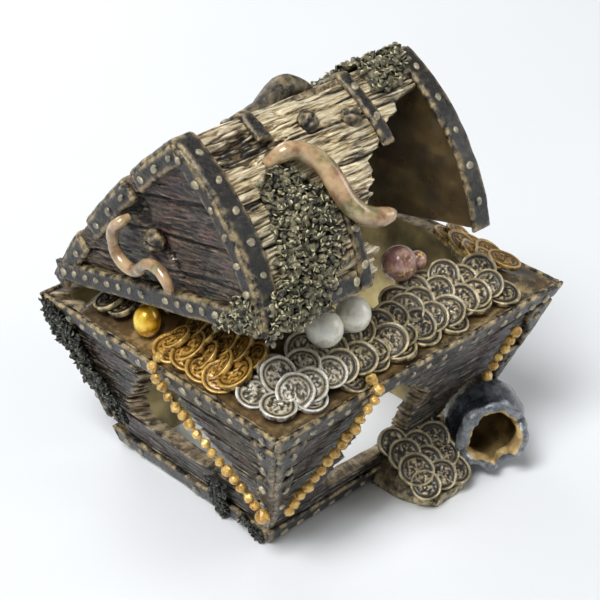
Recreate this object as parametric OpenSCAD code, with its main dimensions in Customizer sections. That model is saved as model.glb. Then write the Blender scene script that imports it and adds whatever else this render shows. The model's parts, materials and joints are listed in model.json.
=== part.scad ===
// Sunken treasure chest: an aquarium bubbling ornament with a hinged, air-lifted lid.
// X runs along the chest, -Y is the front, +Z is up; the origin is the middle of the footprint.

/* [Chest] */
// Length of the chest at its rim
rim_length = 160; // [140:1:190]
// Depth of the chest at its rim, front to back
rim_depth = 142; // [125:1:165]
// Height of the rim above the ground
rim_height = 76; // [66:1:90]
// How far each end wall leans in from rim to ground
end_inset = 21; // [15:1:25]
// How far the front wall leans in
front_inset = 29; // [22:1:32]
// How far the back wall leans in
back_inset = 20; // [14:1:24]
// Thickness of the chest walls
wall_thickness = 7; // [6:0.5:8]
// Thickness of the iron bands
band_thickness = 2; // [1.5:0.5:2.5]
// Height of the iron band under the rim
rim_band_height = 8; // [7:1:10]
// Height of the iron band along the ground
foot_band_height = 8; // [7:1:10]

/* [Lid] */
// Length of the lid
lid_length = 120; // [112:1:124]
// Depth of the lid, front edge to back edge
lid_depth = 130; // [126:1:132]
// Distance of the ridge behind the front edge
ridge_inset = 31; // [28:1:34]
// Height of the ridge above the lid's underside
ridge_height = 69; // [64:1:72]
// How far the lid stands open when it rests on the treasure
lid_tilt = 13; // [12:0.5:15]
// Thickness of the lid's planks
lid_thickness = 5; // [4:0.5:6]

/* [Treasure] */
// Radius of a coin
coin_radius = 7.5; // [7:0.5:8]
// Thickness of a coin
coin_thickness = 1.8; // [1.4:0.1:2]
// Radius of a bead of the necklace
bead_radius = 2.1; // [1.8:0.1:2.3]
// Slope of the treasure heap, rising inward from the rim
heap_slope = 18; // [14:1:20]

/* [Air line] */
// Outside radius of the silicone air line
tube_radius = 3; // [3:0.5:3]
// Bore radius of the silicone air line
tube_bore = 2; // [2:0.5:2]
// Height of the air line above the ground
tube_height = 12; // [11:1:14]
// Radius of the air stone
stone_radius = 7; // [6:0.5:8]

/* [Hidden] */

touch = 0.02;
big = 400;
dome_fn = 24;
round_fn = 40;

// Walls: 0 front, 1 left, 2 right, 3 back.
FRONT = 0;
LEFT = 1;
RIGHT = 2;
BACK = 3;
wall_turn = [0, -90, 90, 180];
wall_distance = [rim_depth / 2, rim_length / 2, rim_length / 2, rim_depth / 2];
wall_lean = [
    atan(front_inset / rim_height), atan(end_inset / rim_height),
    atan(end_inset / rim_height), atan(back_inset / rim_height)
];

// Places children on a wall: x along it, y up its slope from the rim, z outward.
module on_wall(side) {
    rotate([0, 0, wall_turn[side]])
        translate([0, -wall_distance[side], rim_height])
            rotate([90 + wall_lean[side], 0, 0])
                children();
}

// Slope distance from the rim down to a height above the ground.
function down(side, height) = (height - rim_height) / cos(wall_lean[side]);

// Everything outside a wall's plane, moved out by offset_out.
module beyond(side, offset_out) {
    on_wall(side)
        translate([-big / 2, -big / 2, offset_out])
            cube([big, big, big / 2]);
}

// The chest's tapered block between two heights, grown outward by grow.
module chest_block(grow, low, high) {
    difference() {
        translate([-big / 4, -big / 4, low])
            cube([big / 2, big / 2, high - low]);
        for (side = [FRONT:BACK])
            beyond(side, grow);
    }
}

// One wall's share of a shell: front and back run the full length.
module wall_share(side, inner, outer, low, high) {
    difference() {
        intersection() {
            chest_block(outer, low, high);
            beyond(side, inner);
        }
        if (side == LEFT || side == RIGHT) {
            beyond(FRONT, inner);
            beyond(BACK, inner);
        }
    }
}

// A hole cut through a wall; the outline is [along, height above ground].
module wall_hole(side, outline) {
    on_wall(side)
        translate([0, 0, -wall_thickness - 1])
            linear_extrude(height = wall_thickness + band_thickness + 2)
                polygon([for (p = outline) [p[0], down(side, p[1])]]);
}

// The jug lies in the broken front corner, its mouth to the front left.
jug_place = [49, -61, 17.6];
jug_turn = -36;
jug_tip = 84;
jug_radius = 17;
neck_radius = 13;
neck_length = 7;
neck_start = jug_radius - 5;
module jug_space() {
    translate(jug_place)
        sphere(r = jug_radius + 1.5, $fn = round_fn);
}

rim_low = rim_height - rim_band_height;
front_break = [
    [-24, rim_low - 1], [-29, 54], [-26, 46], [-33, 38], [-31, 32], [-37, 26], [-35, 16], [12, 14],
    [9, 36], [14, 46], [2, 57], [-14, rim_low - 1]
];
side_break = [
    [-20, 64], [-18, 56], [-25, 46], [-37, 35], [-35, 25], [-12, 22], [22, 23], [42, 21],
    [38, 31], [22, 46], [6, 62], [-8, 66]
];
back_break = [
    [-42, 8], [-46, 30], [-36, 46], [-14, 52], [-6, 40], [-10, 22], [-18, 8]
];

module front_wall() {
    color("dimgray")
        difference() {
            wall_share(FRONT, -wall_thickness, 0, 0, rim_height);
            wall_hole(FRONT, front_break);
            jug_space();
        }
}

module left_wall() {
    color("dimgray")
        difference() {
            wall_share(LEFT, -wall_thickness, 0, 0, rim_height);
            wall_hole(LEFT, side_break);
        }
}

module right_wall() {
    color("dimgray")
        difference() {
            wall_share(RIGHT, -wall_thickness, 0, 0, rim_height);
            jug_space();
        }
}

module back_wall() {
    color("dimgray")
        difference() {
            wall_share(BACK, -wall_thickness, 0, 0, rim_height);
            wall_hole(BACK, back_break);
            inlet_hole();
        }
}

// The round hole in the back wall that holds the air inlet.
tube_x = -30;
inlet_hole_radius = 4;
module inlet_hole() {
    translate([tube_x, 0, tube_height])
        rotate([-90, 0, 0])
            cylinder(r = inlet_hole_radius, h = big, $fn = round_fn);
}

// The heap is bounded by planes that rise inward from the rim.
bed_low = 64;
hollow_left = -32;
hollow_right = 62;
hollow_front = -34;
bed_back = 48;
module above_heap(side) {
    rotate([0, 0, wall_turn[side]])
        translate([0, -wall_distance[side], rim_height - 1])
            rotate([heap_slope, 0, 0])
                translate([-big / 2, -big / 2, 0])
                    cube([big, big, big / 2]);
}

module treasure_bed() {
    color("saddlebrown")
        difference() {
            chest_block(-wall_thickness - touch, bed_low, rim_height + 11);
            for (side = [FRONT, LEFT, RIGHT])
                above_heap(side);
            translate([hollow_left, hollow_front, 0])
                cube([hollow_right - hollow_left, big / 2, big / 2]);
            translate([-big / 2, bed_back, 0])
                cube([big, big / 2, big / 2]);
            translate([hollow_right, -16, 0])
                cube([big / 2, big / 2, big / 2]);
        }
}

// Bands and brackets.
module rim_band(side) {
    color("slategray")
        wall_share(side, 0, band_thickness, rim_low, rim_height);
}

module foot_band(side) {
    color("slategray")
        difference() {
            wall_share(side, 0, band_thickness, 0, foot_band_height);
            jug_space();
            inlet_hole();
        }
}

bracket_reach = 13;
module corner_bracket(side_a, side_b) {
    color("slategray")
        difference() {
            intersection() {
                chest_block(band_thickness, foot_band_height + touch, rim_low - touch);
                beyond(side_a, -bracket_reach);
                beyond(side_b, -bracket_reach);
            }
            chest_block(0, 0, rim_height);
            jug_space();
        }
}

// A low domed rivet head standing on z = 0.
module rivet_head(radius) {
    intersection() {
        translate([0, 0, -radius * 0.35])
            sphere(r = radius, $fn = dome_fn);
        translate([-radius, -radius, 0])
            cube(radius * 2);
    }
}

rivet_radius = 2.1;
rivet_pitch = 9;
// A row of rivets centred on a wall at a height above the ground.
module rivet_row(side, height, half_count) {
    for (i = [-half_count:half_count])
        on_wall(side)
            translate([i * rivet_pitch, down(side, height), band_thickness + touch])
                rivet_head(rivet_radius);
}

module base_rivets() {
    color("gray") {
        rivet_row(FRONT, rim_height - rim_band_height / 2, 8);
        rivet_row(LEFT, rim_height - rim_band_height / 2, 7);
        rivet_row(RIGHT, rim_height - rim_band_height / 2, 7);
        for (i = [-5, -4, 0, 3, 4])
            on_wall(LEFT)
                translate([i * rivet_pitch, down(LEFT, foot_band_height / 2), band_thickness + touch])
                    rivet_head(rivet_radius);
        for (i = [-6:-1])
            on_wall(FRONT)
                translate([i * rivet_pitch, down(FRONT, foot_band_height / 2), band_thickness + touch])
                    rivet_head(rivet_radius);
    }
}

// Coins lie on the heap in shingled rows: x along the rim, y inward up the slope.
shingle_pitch = 8.5;
shingle_tilt = asin((coin_thickness + 0.2) / shingle_pitch);
module coin_row(side, inward, first, count) {
    rotate([0, 0, wall_turn[side]])
        translate([0, -wall_distance[side], rim_height - 1])
            rotate([heap_slope, 0, 0])
                for (i = [0:count - 1])
                    translate([first + i * shingle_pitch, inward, coin_lift])
                        rotate([0, -shingle_tilt, 0])
                            cylinder(r = coin_radius, h = coin_thickness, $fn = round_fn);
}
coin_lift = coin_radius * sin(shingle_tilt) + touch;
outer_row = 12;
inner_row = 27.5;

module gold_coins() {
    color("goldenrod") {
        coin_row(LEFT, outer_row, 2, 5);
        coin_row(RIGHT, outer_row, -50, 4);
    }
}

module silver_coins() {
    color("silver") {
        coin_row(FRONT, outer_row, -62, 3);
        coin_row(FRONT, inner_row, -44, 3);
    }
}

module bronze_coins() {
    color("darkgoldenrod") {
        coin_row(FRONT, outer_row, -36.5, 11);
        coin_row(FRONT, inner_row, 8, 4);
        coin_row(LEFT, outer_row, -40, 2);
        coin_row(LEFT, inner_row, -30, 3);
    }
}

// Coins spilled on a low wedge in front of the chest.
spill_middle = 14;
spill_half = 17;
spill_front = -75;
spill_rise = 16;
spill_crest = -50;
spill_back = -40;
spill_edge = 3;
module spill_bed() {
    color("saddlebrown")
        difference() {
            translate([spill_middle - spill_half, 0, 0])
                rotate([90, 0, 90])
                    linear_extrude(height = spill_half * 2)
                        polygon([
                            [spill_front, 0], [spill_back, 0], [spill_back, spill_rise],
                            [spill_crest, spill_rise], [spill_front, spill_edge]
                        ]);
            chest_block(band_thickness + touch, -1, rim_height);
            jug_space();
        }
}

spill_slope = atan((spill_rise - spill_edge) / (spill_crest - spill_front));
module spilled_coins() {
    color("darkgoldenrod")
        for (row = [0:1])
            for (i = [0:2])
                translate([spill_middle - spill_half, spill_front, spill_edge])
                    rotate([spill_slope, 0, 0])
                        translate([7.5 + i * shingle_pitch, 7 + row * 15.6, coin_lift])
                            rotate([0, -shingle_tilt, 0])
                                cylinder(r = coin_radius, h = coin_thickness, $fn = round_fn);
}

// Pearls.
module white_pearls() {
    color("whitesmoke")
        for (i = [0:1])
            translate([-36.5 + i * 15.2, -50, 95])
                sphere(r = 7.3, $fn = round_fn);
}

module pink_pearls() {
    color("rosybrown") {
        translate([17, -38, 97])
            sphere(r = 7.4, $fn = round_fn);
        translate([28.6, -37.5, 93.5])
            sphere(r = 4, $fn = round_fn);
    }
}

module gold_pearl() {
    color("gold")
        translate([-72, 13.4, 85.2])
            scale([0.9, 0.9, 1.1])
                sphere(r = 6.2, $fn = round_fn);
}

// Gold bead necklaces lie against the walls: ends are [along, height].
module bead_line(side, from, to, count) {
    for (i = [0:count - 1])
        let (t = i / (count - 1), p = from + (to - from) * t)
            on_wall(side)
                translate([p[0], down(side, p[1]), bead_radius + band_thickness + touch])
                    sphere(r = bead_radius, $fn = dome_fn);
}

module bead_strand_left() {
    color("gold")
        bead_line(LEFT, [9, 65.5], [50, 24], 14);
}

module bead_strand_front() {
    color("gold")
        bead_line(FRONT, [-61, 25], [-37, 65.5], 12);
}

module bead_strand_right() {
    color("gold")
        bead_line(FRONT, [55, 64], [49, 41], 6);
}

// A broken storage jug on its side.
jug_wall = 2.6;
jug_mouth_radius = 10.5;
module broken_jug() {
    color("steelblue")
        translate(jug_place)
            rotate([0, 0, jug_turn])
                rotate([jug_tip, 0, 0])
                    difference() {
                        union() {
                            sphere(r = jug_radius, $fn = round_fn);
                            translate([0, 0, neck_start])
                                cylinder(r = neck_radius, h = neck_length, $fn = round_fn);
                        }
                        sphere(r = jug_radius - jug_wall, $fn = round_fn);
                        cylinder(r = jug_mouth_radius, h = big, $fn = round_fn);
                    }
}

// Moss tufts, simple solids with the tufts' outer size.
moss_flatness = 0.6;
module moss_back_corner() {
    color("darkolivegreen")
        on_wall(LEFT)
            translate([-52, down(LEFT, 46), band_thickness + 0.3])
                for (step = [[-8, 9, 5], [3, 4, 5], [-6, -10, 5], [4, -18, 5]])
                    translate([step[0], step[1], step[2] * moss_flatness])
                        scale([1.1, 1.15, moss_flatness])
                            sphere(r = step[2], $fn = dome_fn);
}

module moss_foot_corner() {
    color("darkolivegreen")
        on_wall(LEFT)
            translate([20, down(LEFT, 17), band_thickness + 0.3 + 5 * moss_flatness])
                scale([1.2, 1, moss_flatness])
                    sphere(r = 5, $fn = dome_fn);
}

// Air line: inlet through the back wall, tube, and air stone.
inlet_inner_y = 44;
inlet_step_y = 59;
spigot_inside = 6;
// The spigot reaches as far back as the jug's mouth reaches forward.
mouth_forward = sin(jug_tip) * cos(jug_turn);
inlet_outer_y = (neck_start + neck_length) * mouth_forward
    + neck_radius * sqrt(1 - mouth_forward * mouth_forward) - jug_place[1];
air_way_radius = 1.1;
slip = 0.05;
module inlet_barb() {
    color("white")
        translate([tube_x, 0, tube_height])
            rotate([-90, 0, 0])
                difference() {
                    union() {
                        translate([0, 0, inlet_inner_y - spigot_inside])
                            cylinder(r = tube_bore - slip, h = spigot_inside + 1, $fn = round_fn);
                        translate([0, 0, inlet_inner_y])
                            cylinder(
                                r = inlet_hole_radius - slip, h = inlet_step_y - inlet_inner_y, $fn = round_fn
                            );
                        translate([0, 0, inlet_step_y - 1])
                            cylinder(r = tube_bore, h = inlet_outer_y - inlet_step_y + 1, $fn = round_fn);
                    }
                    translate([0, 0, inlet_inner_y - spigot_inside - 1])
                        cylinder(r = air_way_radius, h = big, $fn = round_fn);
                }
}

stone_y = -6;
stone_length = 26;
stone_flange = 2;
flange_radius = 4;
stone_barb_length = 9;
line_length = inlet_inner_y - stone_y - stone_length - stone_flange - touch;
module air_line() {
    color("lightcyan")
        translate([tube_x, stone_y + stone_length + stone_flange, tube_height])
            rotate([-90, 0, 0])
                difference() {
                    cylinder(r = tube_radius, h = line_length, $fn = round_fn);
                    translate([0, 0, -1])
                        cylinder(r = tube_bore, h = big, $fn = round_fn);
                }
}

module air_stone_barb() {
    color("white")
        translate([tube_x, stone_y + stone_length + touch, tube_height])
            rotate([-90, 0, 0])
                difference() {
                    union() {
                        cylinder(r = flange_radius, h = stone_flange - 0.1, $fn = round_fn);
                        cylinder(r = tube_bore - slip, h = stone_barb_length, $fn = round_fn);
                    }
                    translate([0, 0, -1])
                        cylinder(r = air_way_radius, h = big, $fn = round_fn);
                }
}

module air_stone() {
    color("cornflowerblue")
        translate([tube_x, stone_y, tube_height])
            rotate([-90, 0, 0])
                cylinder(r = stone_radius, h = stone_length, $fn = round_fn);
}

// Hinges: two butt hinges on the back rim; the lid turns about X.
hinge_y = rim_depth / 2 + 5;
hinge_z = rim_height + 4;
knuckle_radius = 4;
pin_radius = 1.5;
pin_clearance = slip;
knuckle_length = 6;
knuckle_gap = 0.2;
pilot_bore = 0.1;
leaf_height = 14;
leaf_thickness = 2;
pin_overhang = 1.2;
pin_head_radius = 2.4;
hinge_x = [-52, 18];
module knuckle(x, length, bore) {
    translate([x, hinge_y, hinge_z])
        rotate([0, 90, 0])
            difference() {
                cylinder(r = knuckle_radius, h = length, $fn = round_fn);
                translate([0, 0, -1])
                    cylinder(r = bore, h = length + 2, $fn = round_fn);
            }
}

module hinge_leaf_base(x) {
    color("darkslategray")
        difference() {
            union() {
                for (end = [0, 1])
                    translate([x + end * 2 * knuckle_length, 0, 0])
                        knuckle(0, knuckle_length - knuckle_gap, pilot_bore);
                on_wall(BACK)
                    translate([-x - 3 * knuckle_length + knuckle_gap, -leaf_height, band_thickness + touch])
                        cube([3 * knuckle_length - knuckle_gap, leaf_height, leaf_thickness]);
                for (end = [0, 1])
                    on_wall(BACK)
                        translate([
                            -x - knuckle_length + knuckle_gap - end * 2 * knuckle_length, -1,
                            band_thickness + touch
                        ])
                            cube([knuckle_length - knuckle_gap, 4, leaf_thickness]);
            }
            translate([x - 1, hinge_y, hinge_z])
                rotate([0, 90, 0])
                    cylinder(r = pin_radius + pin_clearance, h = 3 * knuckle_length + 2, $fn = round_fn);
            translate([x + knuckle_length - knuckle_gap, hinge_y, hinge_z])
                rotate([0, 90, 0])
                    cylinder(r = knuckle_radius + 0.6, h = knuckle_length + knuckle_gap, $fn = round_fn);
        }
}

module hinge_pin(x) {
    color("darkgray")
        translate([x - pin_overhang, hinge_y, hinge_z])
            rotate([0, 90, 0])
                union() {
                    cylinder(r = pin_radius, h = 3 * knuckle_length + 2 * pin_overhang, $fn = round_fn);
                    translate([0, 0, -0.8])
                        cylinder(r = pin_head_radius, h = 1.8, $fn = round_fn);
                }
}

// Lid frame: x along the lid, -y toward its front edge, z up from its underside.
lid_left = -rim_length / 2 + 3;
lid_back_y = 66;
lid_back_z = rim_height + 9;
module in_lid() {
    translate([0, lid_back_y, lid_back_z])
        rotate([-lid_tilt, 0, 0])
            children();
}

// Two arcs make the lid's section: a steep front and a long back slope.
front_sag = 9;
back_sag = 5;
front_low = [-lid_depth, 0];
ridge = [-lid_depth + ridge_inset, ridge_height];
back_low = [0, 0];
function arc_radius(p, q, sag) = (pow(norm(q - p) / 2, 2) + sag * sag) / (2 * sag);
function arc_centre(p, q, sag) =
    let (chord = q - p, away = [chord[1], -chord[0]] / norm(chord))
    (p + q) / 2 + away * (arc_radius(p, q, sag) - sag);
front_centre = arc_centre(front_low, ridge, front_sag);
front_radius = arc_radius(front_low, ridge, front_sag);
back_centre = arc_centre(ridge, back_low, back_sag);
back_radius = arc_radius(ridge, back_low, back_sag);
function angle_at(centre, p) = (atan2(p[1] - centre[1], p[0] - centre[0]) + 360) % 360;
arc_steps = 8;
function arc_points(centre, radius, p, q) =
    let (a = angle_at(centre, p), b = angle_at(centre, q))
    [
        for (i = [0:arc_steps])
            let (turn = a + (b - a) * i / arc_steps)
            centre + radius * [cos(turn), sin(turn)]
    ];

// Upper crossing of the two arcs after both grow by grow.
function grown_ridge(grow) =
    let (
        r1 = front_radius + grow, r2 = back_radius + grow,
        gap = back_centre - front_centre, d = norm(gap),
        along = (d * d + r1 * r1 - r2 * r2) / (2 * d),
        side = sqrt(r1 * r1 - along * along)
    )
    front_centre + gap / d * along + [gap[1], -gap[0]] / d * side;
function at_foot(centre, radius, sign) =
    [centre[0] + sign * sqrt(radius * radius - centre[1] * centre[1]), 0];
function lid_section(grow) =
    let (top = grown_ridge(grow))
    concat(
        arc_points(front_centre, front_radius + grow, at_foot(front_centre, front_radius + grow, -1), top),
        arc_points(back_centre, back_radius + grow, top, at_foot(back_centre, back_radius + grow, 1))
    );

// The lid's section, grown outward by grow, run along x.
module lid_bar(grow, from, length) {
    translate([from, 0, 0])
        rotate([90, 0, 90])
            linear_extrude(height = length)
                polygon(lid_section(grow));
}

// The half of the lid in front of the ridge, or behind it.
module lid_half(front) {
    translate([-big / 2, front ? ridge[0] - big / 2 : ridge[0], -1])
        cube([big, big / 2, big / 2]);
}

panel_thickness = 6;
lid_inner_left = lid_left + panel_thickness;
lid_inner_length = lid_length - 2 * panel_thickness;
// The break in the lid's front planks: [along, height].
lid_break = [
    [-22, -1], [-17, 10], [-26, 22], [-10, 33], [-2, 44], [12, 50], [20, 56], [46, 60], [46, -1]
];

module lid_plank_skin(front) {
    difference() {
        intersection() {
            lid_bar(0, lid_inner_left + touch, lid_inner_length - 2 * touch);
            lid_half(front);
        }
        lid_bar(-lid_thickness, lid_left, lid_length);
    }
}

module lid_front() {
    color("tan")
        in_lid()
            difference() {
                lid_plank_skin(true);
                rotate([90, 0, 0])
                    linear_extrude(height = big)
                        polygon(lid_break);
            }
}

module lid_back() {
    color("tan")
        in_lid()
            lid_plank_skin(false);
}

module lid_end_left() {
    color("rosybrown")
        in_lid()
            lid_bar(0, lid_left, panel_thickness);
}

module lid_end_right() {
    color("rosybrown")
        in_lid()
            lid_bar(0, lid_left + lid_length - panel_thickness, panel_thickness);
}

// Iron work of the lid.
edge_band_width = 11;
module lid_band(from, width) {
    difference() {
        lid_bar(band_thickness, from, width);
        lid_bar(0, from - 1, width + 2);
    }
}

module lid_edge_band(from) {
    color("slategray")
        in_lid()
            lid_band(from, edge_band_width);
}

module lid_foot_band_front() {
    color("slategray")
        in_lid()
            intersection() {
                lid_band(lid_left + edge_band_width + touch, 47 - edge_band_width);
                translate([-big / 2, -lid_depth - 20, 0])
                    cube([big, 50, 9]);
            }
}

module lid_foot_band_left() {
    color("slategray")
        in_lid()
            translate([lid_left - band_thickness, -lid_depth + 1, 0])
                cube([band_thickness - touch, lid_depth - 8, 9]);
}

strap_width = 6;
module lid_strap(from, low, high) {
    color("slategray")
        in_lid()
            intersection() {
                lid_band(from, strap_width);
                translate([-big / 2, -lid_depth - 20, low])
                    cube([big, lid_depth - 10, high - low]);
            }
}

// The left strap is broken: one piece is left near the ridge, one lower down.
module lid_strap_left() {
    lid_strap(-47, 60, big);
    lid_strap(-29, 0, 46);
}

module lid_strap_middle() {
    lid_strap(3, 48, big);
}

// Places children on the lid's front arc at an angle part, z outward.
function front_angle(part) =
    let (a = angle_at(front_centre, front_low), b = angle_at(front_centre, ridge))
    a + (b - a) * part;
module on_lid_front(x, part, out) {
    translate([x, front_centre[0], front_centre[1]])
        rotate([front_angle(part), 0, 0])
            translate([0, front_radius + out, 0])
                rotate([-90, 0, 0])
                    children();
}

module lid_rivets() {
    color("gray")
        in_lid() {
            for (part = [0.15, 0.38, 0.62, 0.86]) {
                on_lid_front(lid_left + edge_band_width / 2, part, band_thickness + 0.1)
                    rivet_head(rivet_radius);
                on_lid_front(lid_left + lid_length - edge_band_width / 2, part, band_thickness + 0.1)
                    rivet_head(rivet_radius);
            }
            for (i = [0:9])
                translate([lid_left - band_thickness - touch, -lid_depth + 10 + i * 12, 4.5])
                    rotate([0, -90, 0])
                        rivet_head(rivet_radius);
            for (i = [0:2])
                on_lid_front(-59 + i * 10, 0.06, band_thickness + 0.1)
                    rivet_head(rivet_radius);
        }
}

// Square-cut bolt heads on the planks.
module bolt_head() {
    cylinder(r = 3.4, h = 2.6, $fn = 6);
}

module lid_bolts() {
    color("dimgray")
        in_lid() {
            on_lid_front(-22, 0.84, 0.15)
                bolt_head();
            on_lid_front(-3, 0.78, 0.15)
                bolt_head();
            on_lid_front(-35.5, 0.2, 0.15)
                bolt_head();
        }
}

module lid_nail_head() {
    color("dimgray")
        in_lid()
            translate([lid_left - touch, -75, 28])
                rotate([0, -90, 0])
                    difference() {
                        rivet_head(4.6);
                        translate([-6, -0.6, 2])
                            cube([12, 1.2, 4]);
                    }
}

module ridge_handle() {
    color("dimgray")
        in_lid()
            difference() {
                translate([-24, ridge[0] + 6, ridge[1] - 2])
                    rotate([90, 0, 0])
                        translate([0, 0, -4])
                            cylinder(r = 12, h = 8, $fn = round_fn);
                lid_bar(0.1, -60, 80);
            }
}

// An eel starts at the origin heading along +x and bends by each turn, left positive.
module eel(radius, thickness, turns, step) {
    if (step < len(turns)) {
        side = sign(turns[step]);
        sweep = abs(turns[step]);
        translate([0, side * radius, 0]) {
            rotate([0, 0, side > 0 ? -90 : 90 - sweep])
                rotate_extrude(angle = sweep, $fn = round_fn)
                    translate([radius, 0])
                        circle(r = thickness, $fn = dome_fn);
            rotate([0, 0, turns[step]])
                translate([0, -side * radius, 0])
                    eel(radius, thickness, turns, step + 1);
        }
    }
}

eel_radius = 3.8;
module large_eel() {
    color("peru")
        in_lid()
            on_lid_front(-47, 0.8, eel_radius + band_thickness + 1)
                rotate([7, 0, 0])
                    rotate([0, 0, 10])
                        eel(20, eel_radius, [-95, 75], 0);
}

small_eel_radius = 2.3;
module small_eel() {
    color("peru")
        in_lid()
            translate([lid_left - small_eel_radius - 0.2, -58, 36])
                rotate([90, 0, -90])
                    rotate([0, 0, 205])
                        eel(9, small_eel_radius, [165, -75], 0);
}

// Moss on the lid: slabs that follow the planks.
module moss_lid_front() {
    color("darkolivegreen")
        in_lid()
            intersection() {
                difference() {
                    lid_bar(band_thickness + 5, -65, 25);
                    lid_bar(band_thickness + 0.4, -66, 27);
                }
                translate([-66, -lid_depth - 20, 10])
                    cube([36, 60, 40]);
            }
}

module moss_ridge() {
    color("darkolivegreen")
        in_lid()
            intersection() {
                difference() {
                    lid_bar(band_thickness + 5, 12, 20);
                    lid_bar(band_thickness + 0.4, 11, 22);
                }
                translate([0, ridge[0] - 4, 40])
                    cube([60, 22, 60]);
            }
}

module hinge_leaf_lid(x) {
    color("darkslategray")
        difference() {
            union() {
                knuckle(x + knuckle_length + 0.2, knuckle_length - 0.6, 0.1);
                translate([x + knuckle_length + 0.2, hinge_y, hinge_z])
                    rotate([-37, 0, 0])
                        translate([0, -26, 2])
                            cube([knuckle_length - 0.6, 26, 2]);
            }
            in_lid()
                lid_bar(0.05, -100, 200);
            translate([x - 1, hinge_y, hinge_z])
                rotate([0, 90, 0])
                    cylinder(r = pin_radius + pin_clearance, h = 3 * knuckle_length + 2, $fn = round_fn);
        }
}

front_wall();
left_wall();
right_wall();
back_wall();
treasure_bed();
rim_band(FRONT);  // rim_band_front
rim_band(LEFT);  // rim_band_left
rim_band(RIGHT);  // rim_band_right
rim_band(BACK);  // rim_band_back
foot_band(FRONT);  // foot_band_front
foot_band(LEFT);  // foot_band_left
foot_band(RIGHT);  // foot_band_right
foot_band(BACK);  // foot_band_back
corner_bracket(FRONT, LEFT);  // corner_bracket_front_left
corner_bracket(FRONT, RIGHT);  // corner_bracket_front_right
corner_bracket(BACK, LEFT);  // corner_bracket_back_left
corner_bracket(BACK, RIGHT);  // corner_bracket_back_right
base_rivets();
gold_coins();
silver_coins();
bronze_coins();
spilled_coins();
spill_bed();
white_pearls();
pink_pearls();
gold_pearl();
bead_strand_left();
bead_strand_front();
bead_strand_right();
broken_jug();
moss_back_corner();
moss_foot_corner();
air_stone();
air_stone_barb();
air_line();
inlet_barb();
hinge_leaf_base(hinge_x[0]);  // hinge_leaf_base_left
hinge_leaf_base(hinge_x[1]);  // hinge_leaf_base_right
hinge_pin(hinge_x[0]);  // hinge_pin_left
hinge_pin(hinge_x[1]);  // hinge_pin_right
hinge_leaf_lid(hinge_x[0]);  // hinge_leaf_lid_left
hinge_leaf_lid(hinge_x[1]);  // hinge_leaf_lid_right
lid_front();
lid_back();
lid_end_left();
lid_end_right();
lid_edge_band(lid_left);  // lid_edge_band_left
lid_edge_band(lid_left + lid_length - edge_band_width);  // lid_edge_band_right
lid_foot_band_front();
lid_foot_band_left();
lid_strap_left();
lid_strap_middle();
lid_rivets();
lid_bolts();
lid_nail_head();
ridge_handle();
large_eel();
small_eel();
moss_lid_front();
moss_ridge();
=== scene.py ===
import json
import math
from itertools import product

import bpy
import numpy as np
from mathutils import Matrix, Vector


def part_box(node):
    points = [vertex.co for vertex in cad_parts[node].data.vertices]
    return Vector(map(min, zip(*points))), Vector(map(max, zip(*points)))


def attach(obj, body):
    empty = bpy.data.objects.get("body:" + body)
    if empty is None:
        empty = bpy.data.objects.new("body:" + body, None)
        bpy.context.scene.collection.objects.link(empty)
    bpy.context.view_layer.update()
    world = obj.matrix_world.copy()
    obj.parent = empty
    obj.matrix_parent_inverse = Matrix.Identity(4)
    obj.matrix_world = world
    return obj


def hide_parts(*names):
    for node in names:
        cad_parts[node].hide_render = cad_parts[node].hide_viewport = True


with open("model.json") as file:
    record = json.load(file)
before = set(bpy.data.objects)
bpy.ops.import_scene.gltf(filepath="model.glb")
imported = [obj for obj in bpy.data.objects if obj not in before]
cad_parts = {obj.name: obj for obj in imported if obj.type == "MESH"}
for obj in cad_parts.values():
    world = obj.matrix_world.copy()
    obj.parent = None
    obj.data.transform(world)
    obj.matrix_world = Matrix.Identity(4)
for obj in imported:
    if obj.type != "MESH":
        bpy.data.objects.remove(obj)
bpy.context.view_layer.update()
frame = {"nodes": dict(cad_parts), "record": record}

# Lengths are in millimetres until a piece is built; MM turns them into metres.
MM = 0.001
TURN = 2 * math.pi
UP = np.array([0, 0, 1.0])


# ---------------------------------------------------------------- noise
def lattice(i, seed):
    """A repeatable random number in 0..1 for each whole-number point."""
    h = i[..., 0] * 374761393 + i[..., 1] * 668265263 + i[..., 2] * 1440662683 + seed * 362437
    h &= 0xFFFFFFFF
    h = ((h ^ (h >> 13)) * 1274126177) & 0xFFFFFFFF
    return ((h ^ (h >> 16)) & 0xFFFF) / 65535.0


def noise(x, y, z=0.0, seed=0):
    """Smooth noise in -1..1 with features about one unit across."""
    p = np.stack(np.broadcast_arrays(x, y, z), -1).astype(float)
    base = np.floor(p).astype(np.int64)
    f = p - base
    f = f * f * (3 - 2 * f)
    total = 0
    for corner in product((0, 1), repeat=3):
        c = np.array(corner)
        weight = np.prod(np.where(c, f, 1 - f), -1)
        total = total + weight * lattice(base + c, seed)
    return total * 2 - 1


def fbm(x, y, z=0.0, octaves=3, seed=0):
    """Noise summed over octaves, each half the size and half the strength of the last."""
    total, size = 0, 1.0
    for k in range(octaves):
        total = total + size * noise(x * 2**k, y * 2**k, np.asarray(z) * 2**k, seed + 17 * k)
        size *= 0.5
    return total / 1.6


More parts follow.
